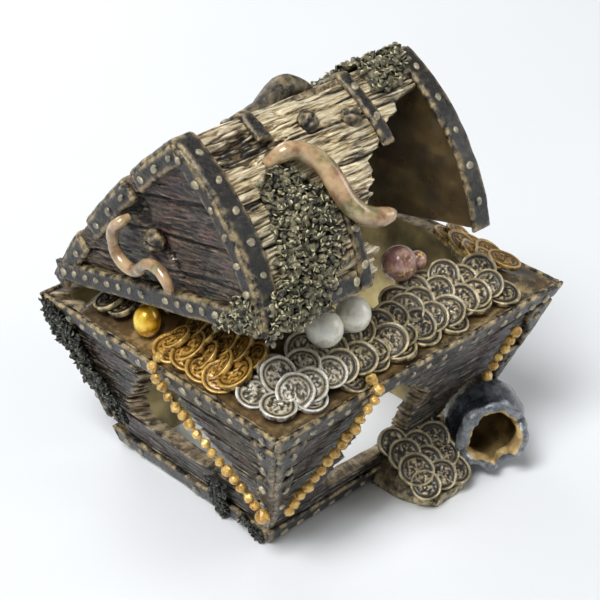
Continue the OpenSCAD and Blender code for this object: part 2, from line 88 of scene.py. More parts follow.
def grain(along, across, seed, plank, depth=1.0):
    """Weathered wood: relief in mm and a tone in 0..1, grain running along the first coordinate."""
    q = across + 2.0 * noise(along / 34, across / 14, 0.5, seed)
    line = noise(along / 13, q / 0.85, 0.5, seed + 3)
    deep = np.clip(0.75 + 0.9 * noise(along / 7, q / 2.5, 0.5, seed + 4), 0, 1)
    groove = np.clip(1 - np.abs(line) / 0.36, 0, 1) * deep
    swell = fbm(along / 22, q / 2.6, 0.5, 3, seed + 5)
    edge = np.abs((q / plank + 0.5) % 1 - 0.5) * plank
    seam = np.clip(1 - edge / 0.9, 0, 1)
    relief = depth * (0.5 * swell - 0.75 * groove - 1.2 * seam)
    tone = np.clip(0.66 + 0.5 * swell - 0.62 * groove - 0.9 * seam, 0, 1)
    return relief, tone


# A relief takes u, v and f, the distance to the border, and gives a height in mm and a tone.
def planks(seed, plank, depth):
    return lambda u, v, f: grain(u, v, seed, plank, depth)


def dented(seed):
    """Hammered iron, rounded over at its border."""
    def relief(u, v, f):
        drop = np.clip(1 - f / 1.3, 0, 1) ** 2
        lumps = fbm(u / 9, v / 6, 0.5, 3, seed)
        pits = np.clip(noise(u / 1.7, v / 1.7, 0.5, seed + 1) - 0.45, 0, 1)
        tone = np.clip(0.5 + 0.3 * lumps - 0.5 * pits + 0.25 * drop, 0, 1)
        return 0.35 * lumps - 0.9 * drop - 0.6 * pits, tone
    return relief


def cast_skin(seed):
    """The smooth, wavy inside of a hollow casting."""
    def relief(u, v, f):
        waves = fbm(u / 16, v / 12, 0.5, 3, seed)
        return 0.8 * waves, np.clip(0.55 + 0.45 * waves, 0, 1)
    return relief


def plain(u, v, f):
    """A side that is never seen."""
    return 0 * u, 0 * u + 0.4


# ---------------------------------------------------------------- reading the CAD frame
def span(node):
    """The low and high corners of a CAD node, in mm."""
    return [np.array(corner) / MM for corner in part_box(node)]


def cad_mesh(node):
    """The points, in mm, and triangles of a CAD node."""
    mesh = frame["nodes"][node].data
    mesh.calc_loop_triangles()
    points = np.array([v.co for v in mesh.vertices], float).reshape(-1, 3) / MM
    triangles = np.array([t.vertices for t in mesh.loop_triangles], int)
    return points, triangles


def islands(node):
    """The separate solids of a CAD node, each as its own array of points."""
    points, triangles = cad_mesh(node)
    _, first, weld = np.unique(np.round(points, 3), axis=0, return_index=True, return_inverse=True)
    triangles = weld.reshape(-1)[triangles]
    label = np.arange(len(first))
    while True:
        low = label[triangles].min(1)
        new = label.copy()
        np.minimum.at(new, triangles.ravel(), np.repeat(low, 3))
        new = new[new]
        if (new == label).all():
            break
        label = new
    return [points[first[label == k]] for k in np.unique(label)]


def disc_axis(points, away_from):
    """The short axis of a flat or domed solid, pointing away from a place."""
    centre = (points.min(0) + points.max(0)) / 2
    _, axes = np.linalg.eigh(np.cov((points - points.mean(0)).T))
    axis = axes[:, 0]
    if axis @ (centre - away_from) < 0:
        axis = -axis
    return centre, axis


def outline(node, to_uv, pick):
    """The border of the picked faces of a CAD node, as segments in u, v."""
    points, triangles = cad_mesh(node)
    corners = points[triangles]
    normal = np.cross(corners[:, 1] - corners[:, 0], corners[:, 2] - corners[:, 0])
    normal /= np.maximum(np.linalg.norm(normal, axis=1, keepdims=True), 1e-9)
    triangles = triangles[pick(normal, corners.mean(1))]
    uv = to_uv(points)
    _, first, weld = np.unique(np.round(uv, 2), axis=0, return_index=True, return_inverse=True)
    faces = weld.reshape(-1)[triangles]
    edges = np.sort(np.concatenate([faces[:, [0, 1]], faces[:, [1, 2]], faces[:, [2, 0]]]), 1)
    edges, count = np.unique(edges, axis=0, return_counts=True)
    edges = edges[(count == 1) & (edges[:, 0] != edges[:, 1])]
    return uv[first[edges]]


def inside(segments):
    """Distance to a border of segments: positive inside, negative outside."""
    a, b = segments[:, 0], segments[:, 1]
    d = b - a
    square = np.maximum((d * d).sum(1), 1e-9)
    rise = np.where(np.abs(d[:, 1]) < 1e-9, 1e-9, d[:, 1])

    def field(u, v):
        p = np.stack([np.ravel(u), np.ravel(v)], 1)[:, None]
        t = np.clip(((p - a) * d).sum(2) / square, 0, 1)
        gap = np.sqrt(((p - a - t[..., None] * d) ** 2).sum(2).min(1))
        crossed = (a[:, 1] > p[..., 1]) != (b[:, 1] > p[..., 1])
        crossed &= p[..., 0] < d[:, 0] * (p[..., 1] - a[:, 1]) / rise + a[:, 0]
        return np.where(crossed.sum(1) % 2 == 1, gap, -gap).reshape(np.shape(u))

    return field


def polygon(points):
    p = np.array(points, float)
    return np.stack([p, np.roll(p, -1, 0)], 1)


def rectangle(u0, u1, v0, v1):
    return inside(polygon([(u0, v0), (u1, v0), (u1, v1), (u0, v1)]))


# ---------------------------------------------------------------- mesh building
record = frame["record"]
BODY = {node: body for body, nodes in record["behaviour"]["bodies"].items() for node in nodes}
SLOT = {part["node"]: part["material_slot"] for part in record["subparts"]}


class Bag:
    """Gathers closed shells, in mm, and builds them into one piece."""

    def __init__(self):
        self.verts, self.faces, self.tone, self.slots, self.count = [], [], [], [], 0

    def add(self, verts, groups, tone, slots=0):
        """Adds a shell; slots names a material for each group of faces, or one for all."""
        self.verts.append(np.asarray(verts, float))
        self.tone.append(np.broadcast_to(np.asarray(tone, float), (len(verts),)))
        for group, slot in zip(groups, np.broadcast_to(slots, len(groups))):
            self.faces.extend((np.asarray(group, int) + self.count).tolist())
            self.slots.extend([slot] * len(group))
        self.count += len(verts)

    def build(self, node, *materials, slot=None, smooth=True):
        """Makes the mesh that replaces a CAD node, on its body, with the given materials."""
        mesh = bpy.data.meshes.new(node)
        points = np.concatenate(self.verts) * MM
        points[:, 2] = np.maximum(points[:, 2], 0)
        mesh.from_pydata(points.tolist(), [], self.faces)
        mesh.polygons.foreach_set("material_index", np.array(self.slots, np.int32))
        mesh.polygons.foreach_set("use_smooth", np.full(len(self.faces), smooth))
        tone = mesh.attributes.new("tone", "FLOAT", "POINT")
        tone.data.foreach_set("value", np.concatenate(self.tone).astype(np.float32))
        for material in materials:
            mesh.materials.append(material)
        mesh.validate()
        piece = bpy.data.objects.new(node, mesh)
        bpy.context.scene.collection.objects.link(piece)
        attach(piece, BODY[node])
        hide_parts(node)
        slot or SLOT[node]


def sheet(bag, us, vs, field, place, thick, relief, back, slots=(0, 1, 2)):
    """A closed sheet where field(u, v) > 0, its points given by place(u, v, out).

    The three slots are the materials of its front, its back and its edge.
    """
    U, V = np.meshgrid(us, vs, indexing="ij")
    F = field(U, V)
    cell = F[:-1, :-1] + F[1:, :-1] + F[1:, 1:] + F[:-1, 1:] > 0
    shares = np.zeros(U.shape, int)
    for i, j in product((0, 1), repeat=2):
        shares[i : i + cell.shape[0], j : j + cell.shape[1]] += cell
    used = shares > 0
    border = used & (shares < 4)
    bu, bv = U[border], V[border]
    probe = 0.2
    gu = (field(bu + probe, bv) - field(bu - probe, bv)) / (2 * probe)
    gv = (field(bu, bv + probe) - field(bu, bv - probe)) / (2 * probe)
    steep = np.maximum(gu**2 + gv**2, 0.3)
    reach = np.hypot(us[1] - us[0], vs[1] - vs[0])
    move = np.clip(-F[border] / steep, -reach, reach)
    U[border] += move * gu
    V[border] += move * gv
    F[border] = 0
    u, v, f = U[used], V[used], np.maximum(F[used], 0)
    number = -np.ones(U.shape, int)
    number[used] = np.arange(used.sum())
    lift, tone = relief(u, v, f)
    under, under_tone = back(u, v, f)
    ring = number[border]
    n, m = used.sum(), len(ring)
    middle = -np.ones(n, int)
    middle[ring] = 2 * n + np.arange(m)
    swell = 0.25 * min(thick, 2) * noise(u[ring] / 1.3, v[ring] / 1.3, 0.5, 61)
    length = np.sqrt(np.maximum(gu**2 + gv**2, 1e-6))
    edge = place(u[ring] - swell * gu / length, v[ring] - swell * gv / length, (lift[ring] - thick) * 0.5)
    verts = np.concatenate([place(u, v, lift), place(u, v, under - thick), edge])
    tones = np.concatenate([tone, under_tone, 0.3 + 0.5 * lattice(np.stack([ring, ring, ring], -1), 5)])
    ci, cj = np.nonzero(cell)
    corners = [number[ci + i, cj + j] for i, j in ((0, 0), (1, 0), (1, 1), (0, 1))]
    front = np.stack(corners, 1)
    rear = front[:, ::-1] + n
    padded = np.pad(cell, 1)
    rims = []
    for k, (di, dj) in enumerate(((0, -1), (1, 0), (0, 1), (-1, 0))):
        open_side = ~padded[ci + 1 + di, cj + 1 + dj]
        a, b = corners[k][open_side], corners[(k + 1) % 4][open_side]
        rims.append(np.stack([middle[a], middle[b], b, a], 1))
        rims.append(np.stack([a + n, b + n, middle[b], middle[a]], 1))
    bag.add(verts, [front, rear, np.concatenate(rims)], tones, slots)


def iron_sheet(bag, us, vs, field, place, thick, seed):
    """A sheet of dented iron, of one material."""
    sheet(bag, us, vs, field, place, thick, dented(seed), plain, (0, 0, 0))


def raised(place, lift):
    """The same surface, further out."""
    return lambda u, v, out: place(u, v, np.asarray(out) + lift)


def uneven(field, amount, size, seed):
    """The same region with a wavering edge."""
    return lambda u, v: field(u, v) + amount * noise(u / size, v / size, 0.5, seed)


def steps(low, high, size):
    """Even steps of about a size from low to high."""
    return np.linspace(low, high, max(2, int(round((high - low) / size)) + 1))


def unit(v):
    v = np.asarray(v, float)
    return v / np.maximum(np.linalg.norm(v, axis=-1, keepdims=True), 1e-12)


def axes_for(normal, hint=(0.3, 0.1, 1.0)):
    """Rows x, y, z of a right-handed frame whose z is the normal."""
    z = unit(normal)
    x = unit(np.cross(hint, z))
    if abs(z @ unit(hint)) > 0.999:
        x = unit(np.cross((1, 0, 0), z))
    return np.stack([x, np.cross(z, x), z])


def ring_faces(rings, sides):
    """Quads between rings of points, and the two end caps."""
    k = np.arange(sides)
    after = (k + 1) % sides
    starts = range(0, (rings - 1) * sides, sides)
    quads = [np.stack([a + k, a + after, a + sides + after, a + sides + k], 1) for a in starts]
    return quads + [k[None, ::-1], (rings - 1) * sides + k[None]]


def spun(radii, heights, sides):
    """A turned shape about +z, closed at its ends."""
    angle = np.arange(sides) * TURN / sides
    r, h = np.asarray(radii, float)[:, None], np.asarray(heights, float)[:, None]
    verts = np.stack([r * np.cos(angle), r * np.sin(angle), h + 0 * angle], -1).reshape(-1, 3)
    return verts, ring_faces(len(radii), sides)


def tube(path, radii, sides, flat=1.0, hint=(0.13, 0.2, 1.0)):
    """A closed tube along a path."""
    path = np.asarray(path, float)
    along = unit(np.gradient(path, axis=0))
    side = unit(np.cross(np.broadcast_to(hint, along.shape), along))
    up = np.cross(along, side)
    angle = (np.arange(sides) * TURN / sides)[None, :, None]
    r = np.asarray(radii, float)[:, None, None]
    ring = r * (np.cos(angle) * side[:, None] + flat * np.sin(angle) * up[:, None])
    return (path[:, None] + ring).reshape(-1, 3), ring_faces(len(path), sides)


def moss(bag, roots, normals, seed, size):
    """Curled lobes of moss standing on the roots, pale at the tips."""
    radius, curl = 0.5, 0.5
    rng = np.random.default_rng(seed)
    count, levels, sides = len(roots), 6, 6
    n = unit(normals + 0.35 * rng.normal(size=(count, 3)))
    t = unit(np.cross(n, rng.normal(size=(count, 3))))
    b = np.cross(n, t)
    step = size / (levels - 1) * rng.uniform(0.7, 1.25, (count, 1))
    bend = curl * rng.uniform(0.3, 1.3, (count, 1))
    lean = rng.uniform(-0.5, 0.3, (count, 1))
    point = roots - 0.8 * n
    angle = np.arange(sides) * TURN / sides
    rings, tones = [], []
    for level in range(levels):
        share = level / (levels - 1)
        heading = n * np.cos(lean + bend * level) + t * np.sin(lean + bend * level)
        across = np.cross(heading, b)
        r = radius * (0.8 + 0.55 * math.sin(share * 2.6) - 0.65 * share**3)
        wide, thin = 2.3 * np.cos(angle)[:, None], 0.5 * np.sin(angle)[:, None]
        offset = wide * b[:, None] + thin * across[:, None]
        rings.append(point[:, None] + r * offset)
        tones.append(np.full((count, sides), share**3))
        point = point + heading * step
    verts = np.stack(rings, 1)
    tone = 0.12 + np.stack(tones, 1) * rng.uniform(0.35, 1.0, (count, 1, 1))
    first = (np.arange(count) * levels * sides)[:, None, None]
    faces = [(first + group).reshape(-1, group.shape[1]) for group in ring_faces(levels, sides)]
    bag.add(verts.reshape(-1, 3), faces, tone.ravel())


def scatter(field, u0, u1, v0, v1, pitch, seed):
    """Jittered points of a region, where the field is positive."""
    rng = np.random.default_rng(seed)
    U, V = np.meshgrid(steps(u0, u1, pitch), steps(v0, v1, pitch), indexing="ij")
    u = U.ravel() + rng.uniform(-0.5, 0.5, U.size) * pitch
    v = V.ravel() + rng.uniform(-0.5, 0.5, U.size) * pitch
    keep = field(u, v) > 0
    return u[keep], v[keep]


# ---------------------------------------------------------------- materials
def colour(code):
    """A linear colour from a six-figure screen colour; one that is linear already is kept."""
    if isinstance(code, list):
        return code
    parts = [int(code[i : i + 2], 16) / 255 for i in (0, 2, 4)]
    return [(c / 12.92 if c <= 0.04045 else ((c + 0.055) / 1.055) ** 2.4) for c in parts] + [1.0]


PAINT_WHITE = 0.93


def lit(*codes, by=1.45):
    """The same colours with more or less light in them, no lighter than white paint."""
    return [[min(part * by, PAINT_WHITE) for part in colour(code)[:3]] + [1.0] for code in codes]


class Paint:
    """A node material: a tone ramp, tint patches, a dry-brushed light coat, and a fine bump."""

    def __init__(self, name):
        self.material = bpy.data.materials.new(name)
        self.material.use_nodes = True
        self.nodes = self.material.node_tree.nodes
        self.links = self.material.node_tree.links
        self.shader = self.nodes["Principled BSDF"]
        self.where = self.nodes.new("ShaderNodeTexCoord").outputs["Object"]

    def link(self, a, b):
        self.links.new(a, b)

    def feed(self, value, socket):
        """Links a value that varies, or sets one that does not."""
        if isinstance(value, (int, float, list)):
            socket.default_value = value
        else:
            self.link(value, socket)

    def noise(self, size_mm, detail=4.0, stretch=(1, 1, 1), rough=0.6):
        mapping = self.nodes.new("ShaderNodeMapping")
        mapping.inputs["Scale"].default_value = stretch
        self.link(self.where, mapping.inputs["Vector"])
        texture = self.nodes.new("ShaderNodeTexNoise")
        texture.inputs["Scale"].default_value = 1 / (size_mm * MM)
        texture.inputs["Detail"].default_value = detail
        texture.inputs["Roughness"].default_value = rough
        self.link(mapping.outputs["Vector"], texture.inputs["Vector"])
        return texture.outputs["Fac"]

    def ramp(self, value, stops):
        node = self.nodes.new("ShaderNodeValToRGB")
        band = node.color_ramp
        while len(band.elements) < len(stops):
            band.elements.new(0.5)
        for element, (place, code) in zip(band.elements, stops):
            element.position = place
            element.color = [code] * 3 + [1.0] if isinstance(code, float) else colour(code)
        self.link(value, node.inputs["Fac"])
        return node.outputs["Color"]

    def mix(self, share, a, b):
        node = self.nodes.new("ShaderNodeMix")
        node.data_type = "RGBA"
        for value, index in ((share, 0), (a, 6), (b, 7)):
            self.feed(value, node.inputs[index])
        return node.outputs[2]

    def maths(self, operation, a, b):
        node = self.nodes.new("ShaderNodeMath")
        node.operation = operation
        node.use_clamp = True
        self.feed(a, node.inputs[0])
        self.feed(b, node.inputs[1])
        return node.outputs[0]

    def tone(self):
        node = self.nodes.new("ShaderNodeAttribute")
        node.attribute_name = "tone"
        return node.outputs["Fac"]

    def worn_edge(self):
        node = self.nodes.new("ShaderNodeNewGeometry")
        return self.ramp(node.outputs["Pointiness"], [(0.5, 0.0), (0.56, 1.0)])

    def bump(self, height, depth_mm):
        node = self.nodes.new("ShaderNodeBump")
        node.inputs["Distance"].default_value = depth_mm * MM
        self.link(height, node.inputs["Height"])
        self.link(node.outputs["Normal"], self.shader.inputs["Normal"])


def painted(name, dark, body, light, tints=(), rough=(0.42, 0.7), fine_mm=0.7, bump_mm=0.25, metal=0.0,
            brush=0.55, stretch=(1, 1, 1), patch_mm=22, coat=0.0, speckle=0.7, edges=1.0, lines=False):
    """Hand-painted resin: dark wash and painted shade in the hollows, tinted body, pale dry brush on the
    high places.
    """
    p = Paint(name)
    fine = p.noise(fine_mm, 5, stretch)
    if lines:
        fine = p.ramp(fine, [(0.4, 0.0), (0.58, 1.0)])
    tone = p.maths("SUBTRACT", p.maths("ADD", p.tone(), p.maths("MULTIPLY", fine, speckle)), speckle / 2)
    middle = colour(body)
    for k, tint in enumerate(tints):
        cloud = p.noise(patch_mm * (1 + 0.35 * k), 3, (1, 1 + 0.3 * k, 1.0))
        patch = p.ramp(cloud, [(0.46, 0.0), (0.62, 1.0)])
        middle = p.mix(p.maths("MULTIPLY", patch, 0.85), middle, colour(tint))
    # The dark end of the tone ramp is the dark wash plus painted shade in the hollows.
    washed_and_shaded = p.mix(p.ramp(tone, [(0.15, 0.0), (0.62, 1.0)]), colour(dark), middle)
    high = p.maths("MULTIPLY", p.ramp(tone, [(0.58, 0.0), (0.88, 1.0)]), brush)
    brushed = p.mix(high, washed_and_shaded, colour(light))
    edge = p.maths("MULTIPLY", p.worn_edge(), p.ramp(p.noise(3.5, 3), [(0.4, 0.0), (0.65, 1.0)]))
    edged = p.mix(p.maths("MULTIPLY", edge, brush * edges), brushed, colour(light))
    p.link(edged, p.shader.inputs["Base Color"])
    p.link(p.ramp(p.noise(5, 4), [(0.3, rough[0]), (0.7, rough[1])]), p.shader.inputs["Roughness"])
    p.shader.inputs["Metallic"].default_value = metal
    p.shader.inputs["Coat Weight"].default_value = coat
    p.shader.inputs["Coat Roughness"].default_value = 0.25
    p.bump(fine, bump_mm)
    return p.material


def clear_plastic(name, tint, rough, through):
    p = Paint(name)
    haze = p.noise(1.2, 4)
    faded = p.mix(p.ramp(haze, [(0.35, 0.0), (0.7, 1.0)]), colour(tint), colour("b9bdb4"))
    p.link(faded, p.shader.inputs["Base Color"])
    p.link(p.ramp(haze, [(0.3, rough), (0.8, rough + 0.25)]), p.shader.inputs["Roughness"])
    p.shader.inputs["Transmission Weight"].default_value = through
    p.shader.inputs["IOR"].default_value = 1.41
    p.bump(haze, 0.05)
    return p.material


def pearl_paint(name, dark, body, light, fleck=None, rough=0.22, metal=0.3):
    """Satin pearl: cloudy body colour, a soft sheen, and flecks where named."""
    p = Paint(name)
    cloud = p.noise(5, 4)
    shade = p.ramp(cloud, [(0.3, dark), (0.5, body), (0.72, light)])
    if fleck:
        spots = p.ramp(p.noise(1.6, 5, rough=0.75), [(0.53, 0.0), (0.6, 1.0)])
        near = p.ramp(p.noise(7, 2), [(0.45, 0.0), (0.6, 1.0)])
        shade = p.mix(p.maths("MULTIPLY", spots, near), shade, colour(fleck))
    p.link(shade, p.shader.inputs["Base Color"])
    p.link(p.ramp(cloud, [(0.3, rough + 0.14), (0.7, rough)]), p.shader.inputs["Roughness"])
    p.shader.inputs["Metallic"].default_value = metal
    p.shader.inputs["Coat Weight"].default_value = 0.5
    p.shader.inputs["Coat Roughness"].default_value = 0.2
    p.bump(p.noise(1.1, 4), 0.08)
    return p.material


base_wood = painted("dark_planks", "050404", "3f3634", "cdbf9f", ("4d2533", "233b35", "40311f"),
                    rough=(0.2, 0.42), brush=0.9, fine_mm=6.0, stretch=(1, 1, 7), coat=0.35, bump_mm=0.6,
                    speckle=0.85, lines=True)
# Warm tan lid planks with painted light: the pale body and strong dry brush stand in for the bright light
# on the lid.
lid_wood_with_light = painted("lid_planks", "120c07", "d9c092", "fdf3d2", ("d8bb7c", "9d8262", "aea080"),
                   rough=(0.3, 0.55), brush=0.95, fine_mm=7.0, stretch=(1, 7, 7), coat=0.2, bump_mm=0.6,
                   speckle=0.5, lines=True)
end_wood = painted("end_planks", "080505", "3b2c22", "a8937a", ("5a2736", "2a4435", "4a3620"),
                   rough=(0.2, 0.42), brush=0.8, fine_mm=6.0, stretch=(7, 1, 7), coat=0.35, bump_mm=0.6,
                   speckle=0.8, lines=True)
iron = painted("iron_bands", "080706", "2b271f", "bfa97c", ("3d3120", "25282a", "4a3a22"),
               rough=(0.2, 0.45), brush=0.95, coat=0.25, fine_mm=1.3, bump_mm=0.8, speckle=1.8, patch_mm=9)
iron_head = painted("iron_heads", "0a0908", "48443a", "cdc19f", ("3b4244", "54462c"),
                    rough=(0.2, 0.4), brush=0.8, coat=0.35, metal=0.1)
raw_wood = painted("broken_wood", "0d0906", *lit("54452f", "b8a684"), lit("332c26"), brush=0.6)
# The inside of the casting, made darker than the cream inside as painted shade, for the shadowed insides of
# the lid and the front wall.
shaded_cast_inside = painted("shaded_cast_inside", "1a130a", *lit("49391f", "8d7a50", by=0.95),
                      lit("33271a", "5b4a2b", by=0.95), rough=(0.25, 0.45), brush=0.4, fine_mm=3.5,
                      bump_mm=0.12, coat=0.35, speckle=0.3)
cream_inside = painted("cream_inside", "2d2617", *lit("86794f", "cdbf93"), lit("5f5335"),
                       fine_mm=3.0, brush=0.4, speckle=0.3, coat=0.2)
gold = painted("gold_paint", "1c1002", "ab7a26", "f3d07c", ("bf8f35", "77551f"),
               rough=(0.16, 0.36), brush=0.85, metal=0.3, coat=0.45)
silver = painted("silver_paint", "100d09", *lit("80765d", "f3ead0"), lit("6a6048", "938769"),
                 rough=(0.2, 0.4), brush=0.95, metal=0.2, coat=0.4)
bronze = painted("bronze_paint", "080604", *lit("40372a", "c9b98f"), lit("4f432b", "312c24"),
                 rough=(0.2, 0.4), brush=0.85, metal=0.25, coat=0.4)
bed_paint = painted("treasure_bed", "120d07", *lit("4f3f28", "c2a977"), lit("6b5231", "3a3227"),
                    rough=(0.2, 0.42), brush=0.6, fine_mm=2.5, metal=0.1, coat=0.4, speckle=0.4)
moss_paint = painted("moss", "040403", "2d3020", "ddd3aa", ("3a3d22", "24281f", "433f28"),
                     rough=(0.35, 0.6), brush=0.95, patch_mm=14, speckle=0.35, edges=0.35)
dark_moss = painted("moss_dark", "040404", *lit("1b1d19", "7d7f6e"), lit("191f17", "232319"),
                    rough=(0.3, 0.55), brush=0.65, patch_mm=14, speckle=0.3, edges=0.2)
jug_paint = painted("jug_glaze", "06080a", "333a43", "a6acb0", ("3a4b5e", "323538"),
                    rough=(0.16, 0.36), brush=0.6, coat=0.55, fine_mm=1.6, bump_mm=0.4)
jug_inside = painted("jug_inside", "150f08", "a3895a", *lit("cdb27a"), lit("4a3d28"),
                     rough=(0.3, 0.55), brush=0.6)
eel_paint = painted("eel_skin", "2c2015", "94704d", "ecd3a8", ("865c40", "6d6f42", "a88660"),
                    rough=(0.12, 0.26), brush=0.45, fine_mm=2.5, bump_mm=0.08, coat=0.9, patch_mm=8,
                    speckle=0.5)
white_pearl = pearl_paint("white_pearl", "c9c4b4", *lit("d6d0c2", "f5f2ea"), metal=0.05)
pink_pearl = pearl_paint("pink_pearl", "452b28", *lit("85605a", "bda093", "d9b25c"), rough=0.3, metal=0.1)
gold_pearl_paint = pearl_paint("gold_bead", "7a5209", *lit("bd8c14", "f0cc5c"))
stone_paint = painted("air_stone", "1f3347", "4f7ba3", "a9c6dc", ("41688c",), rough=(0.7, 0.95),
                      fine_mm=0.8, bump_mm=0.4, brush=0.4)
silicone = clear_plastic("clear_silicone", "dfe6e4", 0.18, 0.75)
plastic = clear_plastic("white_plastic", "e8e6df", 0.3, 0.0)
hinge_paint = painted("hinge_metal", "141414", "3f4143", "a8a294", ("4c443a",), rough=(0.3, 0.5), brush=0.6,
                      metal=0.4)

# ---------------------------------------------------------------- the chest's walls
front_low, front_high = span("front_wall")
RIM = front_high[2]
HALF_X, HALF_Y = -front_low[:2]
WALL = 7.0
BAND = 2.0


def ground_reach(node, axis, sign):
    """How far out a wall reaches along an axis where it meets the ground."""
    points, _ = cad_mesh(node)
    foot = points[points[:, 2] < 0.1]
    return (foot[:, axis] * sign).max()


INSET_X = HALF_X - ground_reach("left_wall", 0, -1)
INSET_FRONT = HALF_Y - ground_reach("front_wall", 1, -1)
INSET_BACK = HALF_Y - ground_reach("back_wall", 1, 1)


class Wall:
    """A wall plane: u along it, v up its slope from the rim, out away from the chest."""

    def __init__(self, turn, distance, inset, end_insets, half):
        self.lean = math.atan2(inset, RIM)
        self.distance, self.inset, self.half, self.end_insets = distance, inset, half, end_insets
        self.x = np.array([math.cos(turn), math.sin(turn), 0.0])
        flat_out = np.array([math.sin(turn), -math.cos(turn), 0.0])
        self.y = math.cos(self.lean) * UP + math.sin(self.lean) * flat_out
        self.z = math.cos(self.lean) * flat_out - math.sin(self.lean) * UP
        self.origin = flat_out * distance + UP * RIM

    def down(self, height):
        return (np.asarray(height) - RIM) / math.cos(self.lean)

    def ends(self, v):
        """Where the neighbouring walls cut this one, at low and high u."""
        gone = -np.asarray(v) * math.cos(self.lean) / RIM
        return -(self.half - self.end_insets[0] * gone), self.half - self.end_insets[1] * gone

    def at(self, u, v, out):
        """A point of the wall; its height depends on v alone."""
        u, v, out = np.broadcast_arrays(u, v, out)
        slope = v + out * math.tan(self.lean)
        return self.origin + u[..., None] * self.x + slope[..., None] * self.y + out[..., None] * self.z

    def place(self, u, v, out):
        """The same, with the ends mitred where the wall meets its neighbours."""
        low, high = self.ends(v)
        middle, half = (low + high) / 2, (high - low) / 2
        return self.at(middle + (u - middle) * (1 + out / half), v, out)

    def uv(self, points):
        local = points - self.origin
        return np.stack([local @ self.x, local @ self.y], 1)

    def outer(self, normal, centre, lift=0.0):
        return (normal @ self.z > 0.99) & (np.abs((centre - self.origin) @ self.z - lift) < 0.3)


FRONT = Wall(0, HALF_Y, INSET_FRONT, (INSET_X, INSET_X), HALF_X)
LEFT = Wall(-TURN / 4, HALF_X, INSET_X, (INSET_BACK, INSET_FRONT), HALF_Y)
RIGHT = Wall(TURN / 4, HALF_X, INSET_X, (INSET_FRONT, INSET_BACK), HALF_Y)
BACK = Wall(TURN / 2, HALF_Y, INSET_BACK, (INSET_X, INSET_X), HALF_X)
WALLS = {"front": FRONT, "left": LEFT, "right": RIGHT, "back": BACK}


def splintered(wall, field, seed):
    """Breaks run out in splinters along the grain, away from the wall's own ends."""
    def torn(u, v):
        low, high = wall.ends(v)
        clear = np.clip((np.minimum(u - low, high - u) - 2) / 5, 0, 1) * np.clip((-v - 2) / 4, 0, 1)
        clear = clear * np.clip((v - wall.down(0) - 3) / 4, 0, 1)
        shift = 3.2 * noise(v / 1.5, u / 30, 0.5, seed) + 1.3 * noise(v / 0.7, u / 12, 0.5, seed + 1)
        return field(u + shift * clear, v + 0.4 * clear * noise(u / 5, v / 5, 0.5, seed + 2))
    return torn


def build_wall(side, seed, inside_paint):
    """A planked wall, its breaks splintered, over a cast inside."""
    wall = WALLS[side]
    node = side + "_wall"
    field = inside(outline(node, wall.uv, wall.outer))
    bag = Bag()
    sheet(
        bag, steps(-wall.half, wall.half, 1.0), steps(wall.down(0), 0, 0.45), splintered(wall, field, seed),
        wall.place, WALL, planks(seed + 5, 13.5, 0.9), cast_skin(seed + 9),
    )
    bag.build(node, base_wood, inside_paint, raw_wood)


# The front wall's inside takes the darker inside paint, as painted shade; the other walls take the cream.
build_wall("front", 11, shaded_cast_inside)
build_wall("left", 23, cream_inside)
build_wall("right", 37, cream_inside)
build_wall("back", 41, cream_inside)


def rivet(bag, centre, normal, radius, seed):
    """A worn, slightly oval domed head, painted lighter towards its top as a painted highlight."""
    stretch, height = 1.25, 0.62
    rng = np.random.default_rng(seed)
    radius = radius * rng.uniform(0.85, 1.1)
    angles = np.linspace(0, math.pi / 2 * 0.96, 5)
    verts, faces = spun(
        np.concatenate([[radius], radius * np.cos(angles)]),
        np.concatenate([[-1.2], radius * height * np.sin(angles)]), 10,
    )
    verts[:, 0] *= stretch
    wobble = 1 + 0.12 * noise(verts[:, 0] / 1.2, verts[:, 1] / 1.2, seed * 1.7, 3)
    verts[:, :2] *= wobble[:, None]
    # Painted highlight: the tone rises towards the top of the dome.
    top = np.clip(verts[:, 2] / (radius * height), 0, 1)
    bag.add(centre + verts @ axes_for(normal, rng.normal(size=3)), faces, 0.1 + 0.85 * top)


def build_band(prefix, side, seed):
    """An iron band along a wall's rim or foot, its edge eaten by rust."""
    wall = WALLS[side]
    node = prefix + "_band_" + side
    field = inside(outline(node, wall.uv, lambda n, c: wall.outer(n, c, BAND)))
    low, high = (corner[2] for corner in span(node))
    vs = (wall.down(low) - 1, 0) if prefix == "rim" else (wall.down(0) - 1, wall.down(high) + 1)

    def worn(u, v):
        rust = noise(u / 7, v / 40, 0.5, seed) + 0.6 * noise(u / 2.3, v / 9, 0.5, seed + 1)
        share = np.clip(-v / 6, 0, 1) if prefix == "rim" else 0.5
        return field(u, v) - 1.2 * np.maximum(rust, -0.2) * share

    bag = Bag()
    us = steps(-wall.half - 3, wall.half + 3, 1.0)
    iron_sheet(bag, us, steps(*vs, 0.6), worn, raised(wall.at, BAND), BAND - 0.1, seed)
    bag.build(node, iron)


for index, side_name in enumerate(WALLS):
    build_band("rim", side_name, 50 + index)
    build_band("foot", side_name, 60 + index)

# ---------------------------------------------------------------- brackets and rivets
bracket_rivets = []


